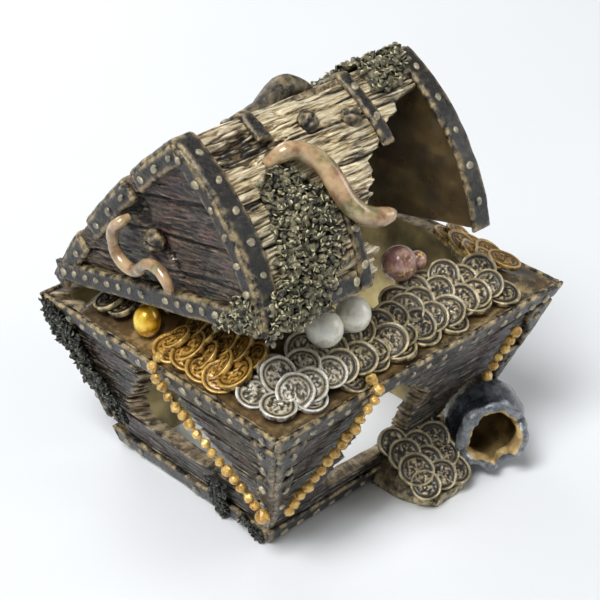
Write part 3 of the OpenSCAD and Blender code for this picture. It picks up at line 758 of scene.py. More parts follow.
def build_bracket(sides, first):
    """Two V-shaped iron plates, one over the other, wrapped round a corner.

    The corner is at the low end of the first wall when first is -1, at its high end when it is 1.
    """
    bag = Bag()
    for wall, sign in zip([WALLS[side] for side in sides], (first, -first)):
        for top, bottom, reach in ((68, 41, 13.5), (45, 12, 9.5)):
            corner = lambda height: wall.ends(wall.down(height))[1 if sign > 0 else 0]
            shape = [
                (corner(top) + sign * 0.6, wall.down(top)),
                (corner(top) - sign * reach, wall.down(top)),
                (corner(bottom + 9) - sign * 3.5, wall.down(bottom + 9)),
                (corner(bottom) + sign * 0.6, wall.down(bottom)),
            ]
            worn = uneven(inside(polygon(shape)), -0.5, 3, top)
            lift = BAND + (0.5 if top > 60 else 0)
            place = raised(wall.at, lift)
            us = steps(min(u for u, v in shape) - 1, max(u for u, v in shape) + 1, 0.7)
            vs = steps(wall.down(bottom) - 1, wall.down(top) + 1, 0.7)
            iron_sheet(bag, us, vs, worn, place, lift + 0.4, top)
            for share, inward in ((0.2, 0.42), (0.55, 0.3)):
                height = top + (bottom - top) * share
                u = corner(height) - sign * reach * inward
                bracket_rivets.append((place(u, wall.down(height), 0.2), wall.z))
    bag.build("_".join(("corner_bracket", *sides)), iron)


for corner_sides, first_end in zip(product(("front", "back"), ("left", "right")), (-1, 1, 1, -1)):
    build_bracket(corner_sides, first_end)

middle_of_chest = UP * RIM / 2
rivets = Bag()
for index, points in enumerate(islands("base_rivets")):
    centre, axis = disc_axis(points, middle_of_chest)
    rivet(rivets, centre - 0.6 * axis, axis, 1.75, index)
for index, (centre, axis) in enumerate(bracket_rivets):
    rivet(rivets, centre, axis, 1.6, 100 + index)
rivets.build("base_rivets", iron_head)

# ---------------------------------------------------------------- treasure
bed_low, bed_high = span("treasure_bed")
HEAP_SLOPE = math.radians(18)


def from_rim(x, y):
    """Distance inward from the rim on the front, left and right."""
    return np.minimum(np.minimum(y + HALF_Y, x + HALF_X), HALF_X - x)


def heap_height(x, y):
    """The heap rises inward from the rim."""
    inward = from_rim(x, y)
    rise = np.minimum(np.maximum(RIM - 1 + inward * math.tan(HEAP_SLOPE), RIM + 0.6), bed_high[2])
    lumps = np.clip((inward - 7) / 8, 0, 1) * (1.2 * fbm(x / 9, y / 9, 0.5, 3, 71) + 0.5)
    return rise + lumps + 0.25 * fbm(x / 5, y / 5, 0.5, 2, 72)


DEEP = 100.0


def between(top, bottom, out):
    """Height of a filled sheet: out 0 is its top, out -DEEP its flat underside."""
    share = np.clip(-np.asarray(out) / DEEP, 0, 1)
    share = np.where(share < 0.1, 0, np.where(share > 0.9, 1, share))
    return top * (1 - share) + bottom * share + np.where(share == 0, out, 0)


def underside(node):
    """The outline of a node's flat underside, in x and y."""
    bottom = span(node)[0][2] + 0.1
    down = lambda normal, centre: (normal[:, 2] < -0.99) & (centre[:, 2] < bottom)
    return inside(outline(node, lambda points: points[:, :2], down))


bed_field = underside("treasure_bed")
bed_foot = cad_mesh("treasure_bed")[0]
bed_foot = bed_foot[bed_foot[:, 2] < bed_low[2] + 0.1]
LIP = 0.6
BED_SCALE = bed_foot[:, 0].max() / (HALF_X - LIP)
BED_FRONT_SCALE = -bed_foot[:, 1].min() / (HALF_Y - LIP)


def bed_under(x, y):
    """The bed lips over the rim and fills the chest inside the walls."""
    return np.where(from_rim(x, y) < WALL + 1.5, RIM - 0.4, bed_low[2])


def bed_edge(u, v):
    """The bed's outline, drawn out to the rim and a little uneven."""
    scaled = bed_field(u * BED_SCALE, v * np.where(v < 0, BED_FRONT_SCALE, BED_SCALE))
    return scaled - 0.4 * np.clip(noise(u / 6, v / 6, 0.5, 73), 0, 1)


def bed_relief(u, v, f):
    relief = 0.2 * fbm(u / 4, v / 4, 0.5, 2, 74) - 0.8 * np.clip(1 - f / 1.6, 0, 1) ** 2
    return relief, np.clip(0.55 + 0.4 * fbm(u / 8, v / 8, 0.5, 3, 75), 0, 1)


bed = Bag()
sheet(
    bed, steps(-HALF_X, HALF_X, 1.3), steps(-HALF_Y, 50, 1.3), bed_edge,
    lambda u, v, out: np.stack([u, v, between(heap_height(u, v), bed_under(u, v), out)], -1),
    DEEP, bed_relief, lambda u, v, f: (1.5 * fbm(u / 12, v / 12, 0.5, 2, 76), 0 * u + 0.45), (0, 1, 1),
)
bed.build("treasure_bed", bed_paint, cream_inside)


# Rings of a coin from its edge inward, as shares of its radius, and the height of the relief at each.
COIN_RINGS = [
    (0.97, -1.0), (1.0, 0.2), (0.99, 0.85), (0.94, 1.0), (0.88, 0.8), (0.82, 0.1), (0.76, 0), (0.7, 0.4),
    (0.66, 0.45),
] + [(share, 0) for share in (0.61, 0.55, 0.48, 0.4, 0.32, 0.24, 0.16, 0.08, 0)]


def coin(bag, centre, axis, radius, thick, seed, hint):
    """A hand-struck coin: raised rim, inner ring and a rubbed, abstract relief."""
    rng = np.random.default_rng(seed)
    sides = 44
    share, level = np.array(COIN_RINGS).T
    r = np.maximum(share, 0.012) * radius
    verts, faces = spun(r, np.zeros(len(r)), sides)
    wobble = 1 + 0.035 * noise(verts[:, 0] / 4, verts[:, 1] / 4, seed * 3.1, 5) + rng.normal(0, 0.01)
    height = np.repeat(level, sides)
    core = np.repeat(share < 0.62, sides)
    mark = noise(verts[:, 0] / 0.75, verts[:, 1] / 1.1, seed * 2.3, 6)
    mark = mark + 0.5 * noise(verts[:, 0] / 0.4, verts[:, 1] / 0.4, seed * 1.3, 7)
    bold = np.clip(mark * 2.2 + 0.45, 0, 1)
    relief = np.where(core, 0.5 * bold, 0)
    high = height > -0.5
    verts[:, 2] = np.where(high, thick / 2 + 0.45 * height + relief, -thick / 2)
    verts[:, :2] *= wobble[:, None]
    tone = np.where(core, 0.22 + 0.5 * bold, np.clip(0.2 + 0.8 * height, 0.15, 1))
    z = unit(axis)
    bag.add(centre + verts @ axes_for(z, hint + 0.2 * rng.normal(size=3)), faces, tone)


BOX_DIAGONAL = 1.42  # the diagonal of a coin's box in plan, over its diameter
COIN_R = np.ptp(islands("spilled_coins")[0], axis=0)[0] / 2


SHINGLE_REACH = 18.0  # rows this near the rim have a second row behind them


def lay_coins(name, material, seed, lean=(6, 24), back_step=7.8, loose=()):
    """Coins where the CAD rows lie, a shingled row between, and loose ones on the heap."""
    rng = np.random.default_rng(seed)
    bag = Bag()
    for index, (x, y) in enumerate(loose):
        level = heap_height(x, y) + 1.6 + 0.5 * (index % 2)
        outward = 0.25 * np.sign(x) * (HALF_X - abs(x) < 14)
        leaned = unit(np.array([outward, -0.3, 1.0]) + rng.normal(0, 0.12, 3))
        coin(bag, np.array([x, y, level]), leaned, COIN_R * rng.uniform(0.95, 1.08), 1.8,
             seed * 50 + 90 + index, np.array([1.0, 0, 0]))
    for index, points in enumerate(islands(name)):
        centre, axis = disc_axis(points, np.array([0, 0, -400.0]))
        radius = np.linalg.norm(np.ptp(points, axis=0)[:2]) / 2 / BOX_DIAGONAL
        downhill = unit(np.array([axis[0], axis[1], 0]))
        spots = [(centre, index)]
        if from_rim(*centre[:2]) < SHINGLE_REACH:
            along = unit(np.cross(downhill, (0, 0, 1)))
            spots.append((centre - downhill * back_step + along * 4.2 + np.array([0, 0, 3.0]), index + 40))
        for place, key in spots:
            tip = math.radians(rng.uniform(*lean))
            leaned = unit(axis * math.cos(tip) + downhill * math.sin(tip) + rng.normal(0, 0.1, 3))
            lift = np.array([0, 0, 0.8 + radius * math.sin(tip) * 0.35])
            slip = rng.normal(0, 0.8, 3) * (1, 1, 0.5)
            coin(bag, place + lift + slip, leaned, radius * rng.uniform(0.86, 1.06), rng.uniform(1.6, 2.1),
                 seed * 50 + key, downhill)
    bag.build(name, material)


lay_coins("gold_coins", gold, 1, loose=[(8 - HALF_X, 5 - HALF_Y / 2 - k * 9.5) for k in (-3, -2, -1, 0)])
lay_coins("silver_coins", silver, 2, loose=[
    (x - HALF_X, y - HALF_Y) for x, y in ((10, 24), (10, 11), (23, 8), (21, 24))])
lay_coins("bronze_coins", bronze, 3, loose=[
    (x, 7.5 - HALF_Y + 2 * (k % 2)) for k, x in enumerate((-36, -22, -9, 6, 21, 37, 52))])
lay_coins("spilled_coins", bronze, 4, (2, 18), 6.5)

spill_low, spill_high = span("spill_bed")


def spill_height(x, y):
    """The spilled heap rises from its front to the wall and falls away at its sides."""
    rise = np.interp(y, [spill_low[1], spill_low[1] + 25], [2.5, spill_high[2] - 0.5])
    edge = np.minimum(x - spill_low[0], spill_high[0] - x)
    return rise * np.sqrt(np.clip(edge / 12, 0.05, 1)) + 0.9 * fbm(x / 5, y / 5, 0.5, 3, 81)


def spill_round(x, y):
    """The heap's outline narrows in a curve toward its front."""
    middle, half = (spill_low[0] + spill_high[0]) / 2, (spill_high[0] - spill_low[0]) / 2
    reach = np.clip((spill_low[1] + 22 - y) / 22, 0, 1)
    return (half * np.sqrt(np.clip(1 - 0.75 * reach**2, 0.01, 1)) - np.abs(x - middle)) * 0.9


spill = Bag()
spill_field = underside("spill_bed")
sheet(
    spill, steps(spill_low[0], spill_high[0], 0.9), steps(spill_low[1], spill_high[1], 0.9),
    lambda u, v: np.minimum(spill_field(u, v), spill_round(u, v)) + noise(u / 4, v / 4, 0.5, 82) - 0.5,
    lambda u, v, out: np.stack([u, v, between(np.maximum(spill_height(u, v), 0.4), 0.0, out)], -1), DEEP,
    lambda u, v, f: (0 * u, np.clip(0.5 + 0.4 * fbm(u / 3, v / 3, 0.5, 3, 83), 0, 1)), plain, (0, 0, 0),
)
spill.build("spill_bed", bronze, slot="bronze_paint")


def ball(bag, centre, scale, seed, lumps, rings=22, sides=32, facet=0.0):
    angle = np.linspace(0.02, math.pi - 0.02, rings)
    verts, faces = spun(np.sin(angle)[::-1], np.cos(angle)[::-1], sides)
    verts *= (1 + lumps * fbm(*(verts * 1.3 + (0, 0, seed)).T, 2, 9))[:, None]
    if facet:
        rng = np.random.default_rng(seed)
        for cut in unit(rng.normal(size=(14, 3))):
            reach = verts @ cut
            verts -= np.maximum(reach - (1 - facet), 0)[:, None] * cut
    turned = verts @ axes_for(np.random.default_rng(seed + 7).normal(size=3)) if facet else verts
    tone = np.clip(0.62 + 0.4 * fbm(*verts.T * 2, 2, seed), 0, 1)
    bag.add(centre + turned * np.asarray(scale), faces, tone)


pearl_paints = {"white_pearls": white_pearl, "pink_pearls": pink_pearl, "gold_pearl": gold_pearl_paint}
for pearl, paint in pearl_paints.items():
    pearls = Bag()
    for index, points in enumerate(islands(pearl)):
        low, high = points.min(0), points.max(0)
        ball(pearls, (low + high) / 2, (high - low) / 2, index + 3, 0.03)
    pearls.build(pearl, paint)


def build_beads(name, wall, seed, big_ends=(), over_rim=0.0):
    """Hand-faceted gold beads along a strand, which can run on over the rim with a drift along the wall."""
    rng = np.random.default_rng(seed)
    solids = islands(name)
    centres = np.array([(p.min(0) + p.max(0)) / 2 for p in solids])
    path = centres[np.argsort(-centres[:, 2])]
    reach = (solids[0].max(0) - solids[0].min(0)) / 2
    if over_rim:
        u = wall.uv(path[:1])[0, 0]
        rise = [(RIM - 7, BAND), (RIM - 3, BAND + 0.4), (RIM + 1.4, BAND - 0.8), (RIM + 2.4, -3.8)]
        over = [wall.at(u + over_rim * (k + 1), wall.down(h), out + reach[2] * 0.9)
                for k, (h, out) in enumerate(rise)]
        path = np.concatenate([over[::-1], path])
    bag = Bag()
    for index, centre in enumerate(path):
        grow = 1.6 if index - len(path) in big_ends else rng.uniform(1.0, 1.25)
        ball(bag, centre + rng.normal(0, 0.25, 3), reach * grow, seed + index, 0.05, 9, 12, 0.16)
    verts, faces = tube(path, np.full(len(path), 0.7), 6)
    bag.add(verts, faces, 0.1)
    bag.build(name, gold, smooth=False)


build_beads("bead_strand_left", LEFT, 300, (-1,), -1.8)
build_beads("bead_strand_front", FRONT, 330, (), 1.6)
build_beads("bead_strand_right", RIGHT, 360)

# ---------------------------------------------------------------- the broken jug
jug_points = cad_mesh("broken_jug")[0]
JUG_TURN, JUG_TIP = math.radians(-36), math.radians(84)
JUG_R = 17.0
jug_axis = math.sin(JUG_TIP) * np.array([math.sin(JUG_TURN), -math.cos(JUG_TURN), 0])
jug_axis[2] = math.cos(JUG_TIP)
jug_reach = jug_points @ jug_axis
jug_base = jug_points[jug_reach < jug_reach.min() + 1.0].mean(0)
jug_centre = jug_base + jug_axis * JUG_R

jug = Bag()
outer_r = [0.3, 6, 11, 15, 16.9, 16.9, 15.6, 14.2, 13.9, 14.8, 15.6, 15.4, 14.0]
outer_h = [-17, -16, -13, -8, -2.5, 3, 8, 11, 13, 14.6, 16.2, 18, 19]
inner_r = [11.8, 10.8, 10.4, 11, 12.5, 14, 13.6, 11, 7, 0.3]
inner_h = [19.2, 18, 15.5, 12, 9, 2, -5, -9.5, -13, -14.2]
sides = 96
verts, faces = spun(outer_r + inner_r, outer_h + inner_h, sides)
angle = np.arctan2(verts[:, 1], verts[:, 0])
lip = np.clip((verts[:, 2] - 12.5) / 4, 0, 1)
chips = np.clip(noise(np.cos(angle) * 2.1, np.sin(angle) * 2.1, 0.5, 91) * 2.6 - 0.2, -0.35, 1)
chips = chips + 0.25 * noise(np.cos(angle) * 7, np.sin(angle) * 7, 0.5, 94)
verts[:, 2] -= lip * chips * 4.0
lumps = fbm(*verts.T / 5, 3, 92)
ripple = noise(np.cos(angle) * 3, np.sin(angle) * 3, verts[:, 2] / 2.5, 93)
verts[:, :2] *= (1 + 0.05 * lumps + lip * 0.11 * ripple)[:, None]
tone = np.clip(0.5 + 0.45 * lumps + 0.2 * lip, 0, 1)
quads = np.concatenate(faces[:-2])
inner = (quads >= len(outer_r) * sides).all(1)
groups = [quads[~inner], faces[-2], quads[inner], faces[-1]]
jug.add(jug_centre + verts @ axes_for(jug_axis, (0, 0, 1.0)), groups, tone, (0, 0, 1, 1))
jug.build("broken_jug", jug_paint, jug_inside)


# ---------------------------------------------------------------- moss on the base
def moss_on_wall(name, wall, blobs, seed, size):
    """Moss over round patches on a wall, each patch u, height, radius."""
    bag = Bag()
    def near(u, v):
        height = RIM + v * math.cos(wall.lean)
        best = -np.ones_like(u) * 99
        for bu, bh, br in blobs:
            best = np.maximum(best, br - np.hypot(u - bu, height - bh))
        return best + 1.6 * noise(u / 4, v / 4, 0.5, seed)
    us = [b[0] for b in blobs]
    u, v = scatter(near, min(us) - 12, max(us) + 12, wall.down(0), 0, 1.15, seed)
    roots = wall.origin + u[:, None] * wall.x + v[:, None] * wall.y
    roots = roots + (BAND + 0.4 + 0.8 * noise(u / 3, v / 3, 0.5, seed)[:, None]) * wall.z
    moss(bag, roots, np.broadcast_to(wall.z, roots.shape), seed, size)
    bag.build(name, dark_moss)


moss_on_wall(
    "moss_back_corner", LEFT,
    [(-66, 72, 6), (-62, 64, 8), (-58, 56, 8), (-56, 48, 7), (-52, 40, 7), (-46, 32, 6), (-40, 26, 4)],
    401, 3.2,
)
moss_on_wall(
    "moss_foot_corner", LEFT,
    [(19, 19, 5), (17, 12, 4.5), (18, 6, 4), (38, 4, 4), (33, 7, 3)],
    402, 2.6,
)

# ---------------------------------------------------------------- air parts and hinges
shown_as_cad = {"air_line": silicone, "inlet_barb": plastic, "air_stone_barb": plastic}
shown_as_cad.update((node, hinge_paint) for node in frame["nodes"] if node.startswith("hinge_"))
for node, material in shown_as_cad.items():
    part = frame["nodes"][node]
    part.data.materials.clear()
    part.data.materials.append(material)

stone_low, stone_high = span("air_stone")
stone_middle = (stone_low + stone_high) / 2
stone_r, stone_half = (stone_high[2] - stone_low[2]) / 2, (stone_high[1] - stone_low[1]) / 2
stone = Bag()
along = np.linspace(-1, 1, 40)
radius = np.minimum(stone_r, stone_r * (0.86 + 0.14 * np.minimum(1, (1 - np.abs(along)) * 12)))
profile = np.concatenate([[0.2, 3, 5], radius, [5, 3, 0.2]])
verts, faces = spun(profile, np.concatenate([[-1] * 3, along, [1] * 3]) * stone_half, 44)
pits = np.clip(noise(*verts.T / 0.8, 95) - 0.1, 0, 1)
verts[:, :2] *= (1 - 0.09 * pits)[:, None]
stone.add(stone_middle + verts @ axes_for((0, 1, 0)), faces, 0.75 - 0.7 * pits)
stone.build("air_stone", stone_paint)

# ---------------------------------------------------------------- the lid
# Lid coordinates: x along the lid, y from its back edge (front is negative), n up from its underside.
LID_TILT = math.radians(13)
LID_BACK, LID_RISE = 66.0, 9.0
LID_ORIGIN = np.array([0, LID_BACK, RIM + LID_RISE])
LID_DEPTH, RIDGE_Y, RIDGE_N = 130.0, -99.0, 69.0
LID_WALL = 5.0
lid_left, lid_right = span("lid_end_left")[0][0], span("lid_end_right")[1][0]


def in_lid(x, y, n):
    """A point of the frame from lid coordinates; lid_uvn goes the other way."""
    c, s = math.cos(LID_TILT), math.sin(LID_TILT)
    x, y, n = np.broadcast_arrays(x, y, n)
    return LID_ORIGIN + np.stack([x, y * c + n * s, -y * s + n * c], -1)


def lid_uvn(points):
    c, s = math.cos(LID_TILT), math.sin(LID_TILT)
    p = points - LID_ORIGIN
    return np.stack([p[:, 0], p[:, 1] * c - p[:, 2] * s, p[:, 1] * s + p[:, 2] * c], 1)


def in_lid_direction(x, y, n):
    return in_lid(x, y, n) - LID_ORIGIN


class Arc:
    """A slope of the lid: u is x, v runs along the arc from start to end, out is away from the lid."""

    def __init__(self, start, end, sag):
        start, end = np.array(start), np.array(end)
        chord = end - start
        half = np.linalg.norm(chord) / 2
        self.radius = (half**2 + sag**2) / (2 * sag)
        away = np.array([chord[1], -chord[0]]) / (2 * half)
        self.centre = (start + end) / 2 + away * (self.radius - sag)
        self.a0 = math.atan2(*(start - self.centre)[::-1]) % TURN
        self.a1 = math.atan2(*(end - self.centre)[::-1]) % TURN
        self.length = self.radius * (self.a0 - self.a1)

    def section(self, v, out):
        angle = self.a0 - np.asarray(v) / self.radius
        r = self.radius + np.asarray(out)
        return self.centre[0] + r * np.cos(angle), self.centre[1] + r * np.sin(angle)

    def place(self, u, v, out):
        y, n = self.section(v, out)
        return in_lid(u, y, n)

    def normal(self, v):
        angle = self.a0 - np.asarray(v) / self.radius
        return in_lid_direction(0.0, np.cos(angle), np.sin(angle))

    def uv(self, points):
        p = lid_uvn(points)
        angle = np.arctan2(p[:, 2] - self.centre[1], p[:, 1] - self.centre[0]) % TURN
        return np.stack([p[:, 0], (self.a0 - angle) * self.radius], 1)

    def outer(self, normal, centre):
        p = lid_uvn(centre)
        reach = np.hypot(p[:, 1] - self.centre[0], p[:, 2] - self.centre[1])
        return (np.abs(reach - self.radius) < 1.0) & (np.abs(normal[:, 0]) < 0.1)


SLOPE_SAG, ROOF_SAG = 9.0, 5.0
SLOPE = Arc((-LID_DEPTH, 0), (RIDGE_Y, RIDGE_N), SLOPE_SAG)
ROOF = Arc((RIDGE_Y, RIDGE_N), (0, 0), ROOF_SAG)


def torn_lid(field, arc, seed):
    """The lid's break runs out in splinters along the planks, away from its ridge and ends."""
    def torn(u, v):
        clear = np.clip((arc.length - v - 1) / 4, 0, 1) * np.clip((u - lid_left - 14) / 6, 0, 1)
        clear = clear * np.clip((lid_right - 9 - u) / 5, 0, 1)
        shift = 5.5 * noise(v / 2.4, u / 60, 0.5, seed) + 1.6 * noise(v / 0.9, u / 20, 0.5, seed + 1)
        return field(u + shift * clear, v)
    return torn


HOLE_U, HOLE_V = -53, 66
HOLE_WIDE, HOLE_HIGH = 13, 6.5


def hole_depth(u, v):
    """A splintered hole where the large eel comes out of the planks."""
    q = (v - HOLE_V) / HOLE_HIGH + 0.6 * noise(u / 6, v / 2, 0.5, 121)
    p = (u - HOLE_U) / HOLE_WIDE + 0.9 * noise(v / 1.1, u / 9, 0.5, 122)
    return np.clip(1.25 - np.hypot(p, q), 0, 1)


def lid_slope_relief(u, v, f):
    relief, tone = grain(u, v, 131, 15.5, 1.25)
    hole = hole_depth(u, v)
    # The hole's tone falls to the dark end towards its middle: painted shade for the depth of the hole.
    return relief - 4.2 * np.minimum(hole * 1.6, 1), (0.12 + 0.95 * tone) * (1 - hole)


def build_slope(node, arc, torn, u_step, v_step, relief, seed):
    """A planked slope of the lid over a cast inside."""
    bag = Bag()
    field = inside(outline(node, arc.uv, arc.outer))
    sheet(
        bag, steps(lid_left, lid_right, u_step), steps(-1, arc.length + 1, v_step),
        torn_lid(field, arc, 135) if torn else field, arc.place, LID_WALL, relief, cast_skin(seed),
    )
    bag.build(node, lid_wood_with_light, shaded_cast_inside, raw_wood)


build_slope("lid_front", SLOPE, True, 0.9, 0.42, lid_slope_relief, 137)
build_slope("lid_back", ROOF, False, 1.1, 0.5, planks(141, 17, 1.1), 147)


class End:
    """An end of the lid: u along the depth, v up, out away from the lid."""

    def __init__(self, x, sign):
        self.x, self.sign = x, sign

    def place(self, u, v, out):
        return in_lid(self.x + self.sign * np.asarray(out), self.sign * np.asarray(u), v)

    def uv(self, points):
        p = lid_uvn(points)
        return np.stack([self.sign * p[:, 1], p[:, 2]], 1)

    def outer(self, normal, centre):
        return (normal[:, 0] * self.sign > 0.99) & (np.abs(centre[:, 0] - self.x) < 0.1)


END_LEFT, END_RIGHT = End(lid_left, -1), End(lid_right, 1)
END_THICK = 6.0


def rot_crack(u, v):
    """A rotten crevice runs down and forward from the upper middle of the left end."""
    path = 62 + (46 - v) * 0.75 + 5 * noise(v / 7, 0.5, 0.5, 151)
    width = np.interp(v, [14, 26, 42, 56], [0, 3.0, 6.5, 0])
    return np.clip(1.3 - np.abs(u - path) / np.maximum(width, 0.1), 0, 1) * (width > 0)


def build_end(end, node, seed, rotten):
    """A planked end of the lid, sunk inside a raised border."""
    field = inside(outline(node, end.uv, end.outer))

    def relief(u, v, f):
        height, tone = grain(u, v, seed, 15, 1.1)
        recess = 1.6 * np.clip((f - 6) / 2, 0, 1)
        if rotten:
            crack = rot_crack(u, v)
            height = height - 2.6 * crack + 1.2 * crack * noise(u / 1.6, v / 1.6, 0.5, seed + 2)
            tone = tone * (1 - 0.75 * crack)
        return height - recess, tone

    bag = Bag()
    low, high = sorted((end.sign, -end.sign * (LID_DEPTH + 1)))
    sheet(bag, steps(low, high, 1.0), steps(-0.5, RIDGE_N + 12, 0.45), field, end.place, END_THICK, relief,
          cast_skin(seed + 7))
    bag.build(node, end_wood, shaded_cast_inside, raw_wood)


build_end(END_LEFT, "lid_end_left", 161, True)
build_end(END_RIGHT, "lid_end_right", 171, False)

EDGE_BAND = 11.0
lid_rivet_spots = []


def arc_band(bag, arc, u0, u1, v0, v1, seed, ragged=0.8):
    """An iron strip on a slope of the lid."""
    field = rectangle(u0, u1, v0, v1)
    worn = lambda u, v: field(u, v) - ragged * np.maximum(noise(v / 6, u / 20, 0.5, seed), -0.3) * 0.7
    us, vs = steps(u0 - 1, u1 + 1, 0.6), steps(v0 - 1, v1 + 1, 0.8)
    iron_sheet(bag, us, vs, worn, raised(arc.place, BAND), BAND - 0.1, seed)


def end_band(bag, end, arc, v0, v1, width, seed):
    """The leg of an angle iron that lies on the lid's end, under a stretch of the arc."""
    shape_v = np.linspace(v0, v1, 24)
    outer_y, outer_n = arc.section(shape_v, 0.6)
    inner_y, inner_n = arc.section(shape_v[::-1], -width)
    shape = np.stack([end.sign * np.concatenate([outer_y, inner_y]), np.concatenate([outer_n, inner_n])], 1)
    worn = uneven(inside(polygon(shape)), -0.5, 5, seed)
    (u0, v_low), (u1, v_high) = shape.min(0) - 1, shape.max(0) + 1
    place = raised(end.place, BAND * 0.7)
    iron_sheet(bag, steps(u0, u1, 0.8), steps(v_low, v_high, 0.8), worn, place, BAND * 0.7 + 1.5, seed)
    count = max(1, int((v1 - v0) / 11))
    for k in range(count):
        y, n = arc.section(v0 + (v1 - v0) * (k + 0.5) / count, -width * 0.5)
        lid_rivet_spots.append((place(end.sign * y, n, -0.1), in_lid_direction(end.sign, 0, 0)))


def band_rivets(arc, x, v0, v1, pitch):
    count = max(1, int((v1 - v0) / pitch))
    for k in range(count):
        v = v0 + (v1 - v0) * (k + 0.5) / count
        lid_rivet_spots.append((arc.place(x, v, BAND - 0.1), arc.normal(v)))


def build_iron(node, strips, legs=(), rows=()):
    """Iron on the lid: strips on the slopes, legs on an end, and rows of rivets."""
    bag = Bag()
    for strip in strips:
        arc_band(bag, *strip)
    for leg in legs:
        end_band(bag, *leg)
    bag.build(node, iron)
    for row in rows:
        band_rivets(*row)


TOP, ROOF_END = SLOPE.length + 0.8, ROOF.length - 1
left_edge = lid_left - 0.6, lid_left + EDGE_BAND - 2
right_edge = lid_right - EDGE_BAND + 2, lid_right + 0.6
left_row, right_row = lid_left + 4.5, lid_right - 4.5
build_iron(
    "lid_edge_band_left",
    [(SLOPE, *left_edge, -0.5, TOP, 181), (ROOF, *left_edge, -0.8, 34, 182),
     (ROOF, *left_edge, 40, 78, 183), (ROOF, *left_edge, 88, ROOF.length, 184)],
    [(END_LEFT, SLOPE, 0, SLOPE.length, 6.5, 185), (END_LEFT, ROOF, 0, 34, 7.5, 186),
     (END_LEFT, ROOF, 40, 78, 8, 187), (END_LEFT, ROOF, 88, ROOF_END, 7.5, 188)],
    [(SLOPE, left_row, 4, SLOPE.length - 2, 10.5), (ROOF, left_row, 4, 32, 10.5),
     (ROOF, left_row, 43, 76, 10.5), (ROOF, left_row, 91, ROOF.length - 3, 10.5)],
)
build_iron(
    "lid_edge_band_right",
    [(SLOPE, *right_edge, -0.5, TOP, 191), (ROOF, *right_edge, -0.8, ROOF.length, 192)],
    [(END_RIGHT, SLOPE, 0, SLOPE.length, 6.5, 193), (END_RIGHT, ROOF, 0, ROOF_END, 7, 194)],
    [(SLOPE, right_row, 4, SLOPE.length - 2, 13), (ROOF, right_row, 4, ROOF.length - 4, 14)],
)
foot_low, foot_high = span("lid_foot_band_front")
build_iron("lid_foot_band_front", [(SLOPE, foot_low[0], foot_high[0], -0.3, 8.5, 195)])

left_foot = Bag()
foot_worn = uneven(rectangle(4, LID_DEPTH - 1, 0, 9), -0.6, 6, 196)
foot_place = raised(END_LEFT.place, BAND)
iron_sheet(left_foot, steps(3, LID_DEPTH, 0.9), steps(-1, 10, 0.6), foot_worn, foot_place, BAND + 1.0, 197)
left_foot.build("lid_foot_band_left", iron)

build_iron(
    "lid_strap_left",
    [(SLOPE, -47, -41, 66, TOP, 201), (ROOF, -47, -41, -0.8, ROOF_END, 202),
     (SLOPE, -29, -23, -0.5, 47, 203, 1.3)],
    rows=[(SLOPE, -26, 2, 44, 11), (ROOF, -44, 4, ROOF_END, 15)],
)
build_iron(
    "lid_strap_middle",
    [(SLOPE, 3, 9, 46, TOP, 204), (ROOF, 3, 9, -0.8, ROOF_END, 205)],
    rows=[(SLOPE, 6, 50, SLOPE.length, 12), (ROOF, 6, 4, ROOF_END, 15)],
)

for k in range(16):
    lid_rivet_spots.append((foot_place(10 + k * 7.4, 4.6, -0.1), in_lid_direction(-1.0, 0, 0)))
for k in range(4):
    lid_rivet_spots.append((SLOPE.place(-60 + k * 9.5, 4.2, BAND - 0.1), SLOPE.normal(4.2)))
lid_rivets = Bag()
for index, (centre, axis) in enumerate(lid_rivet_spots):
    rivet(lid_rivets, centre, axis, 1.6, 500 + index)
lid_rivets.build("lid_rivets", iron_head)


def bolt(bag, centre, normal, radius, seed, facets=7):
    """A chunky bolt head, its dome split by a slot, painted lighter towards its top and darker in the slot
    as painted highlight and painted shade.
    """
    rng = np.random.default_rng(seed)
    angles = np.linspace(0, math.pi / 2 * 0.97, 8)
    verts, faces = spun(
        np.concatenate([[radius], radius * np.cos(angles) ** 0.8]),
        np.concatenate([[-2.0], radius * 0.75 * np.sin(angles)]), 32,
    )
    for k in range(facets):
        cut = np.array([math.cos(k * TURN / facets), math.sin(k * TURN / facets), 0.75])
        cut /= np.linalg.norm(cut)
        verts -= np.maximum(verts @ cut - radius * 0.82, 0)[:, None] * cut
    slot_mark = np.exp(-((verts[:, 0] / (0.16 * radius)) ** 2)) * (verts[:, 2] > 0.15 * radius)
    verts[:, 2] -= 0.28 * radius * slot_mark
    # Painted highlight on the top of the dome and painted shade in the slot.
    tone = np.clip(0.3 + 0.6 * verts[:, 2] / radius - 0.7 * slot_mark, 0, 1)
    bag.add(centre + verts @ axes_for(normal, rng.normal(size=3)), faces, tone)


lid_middle = in_lid(0, -LID_DEPTH / 2, 20)
bolts = Bag()
for index, points in enumerate(islands("lid_bolts")):
    centre, axis = disc_axis(points, lid_middle)
    bolt(bolts, centre - 0.5 * axis, SLOPE.normal(50), 4.3, 610 + index)
bolts.build("lid_bolts", iron)
nail = Bag()
nail_middle = np.mean(span("lid_nail_head"), axis=0)
bolt(nail, nail_middle + (1, 0, 0), np.array([-1.0, 0, 0]), 4.8, 620, 6)
nail.build("lid_nail_head", iron)

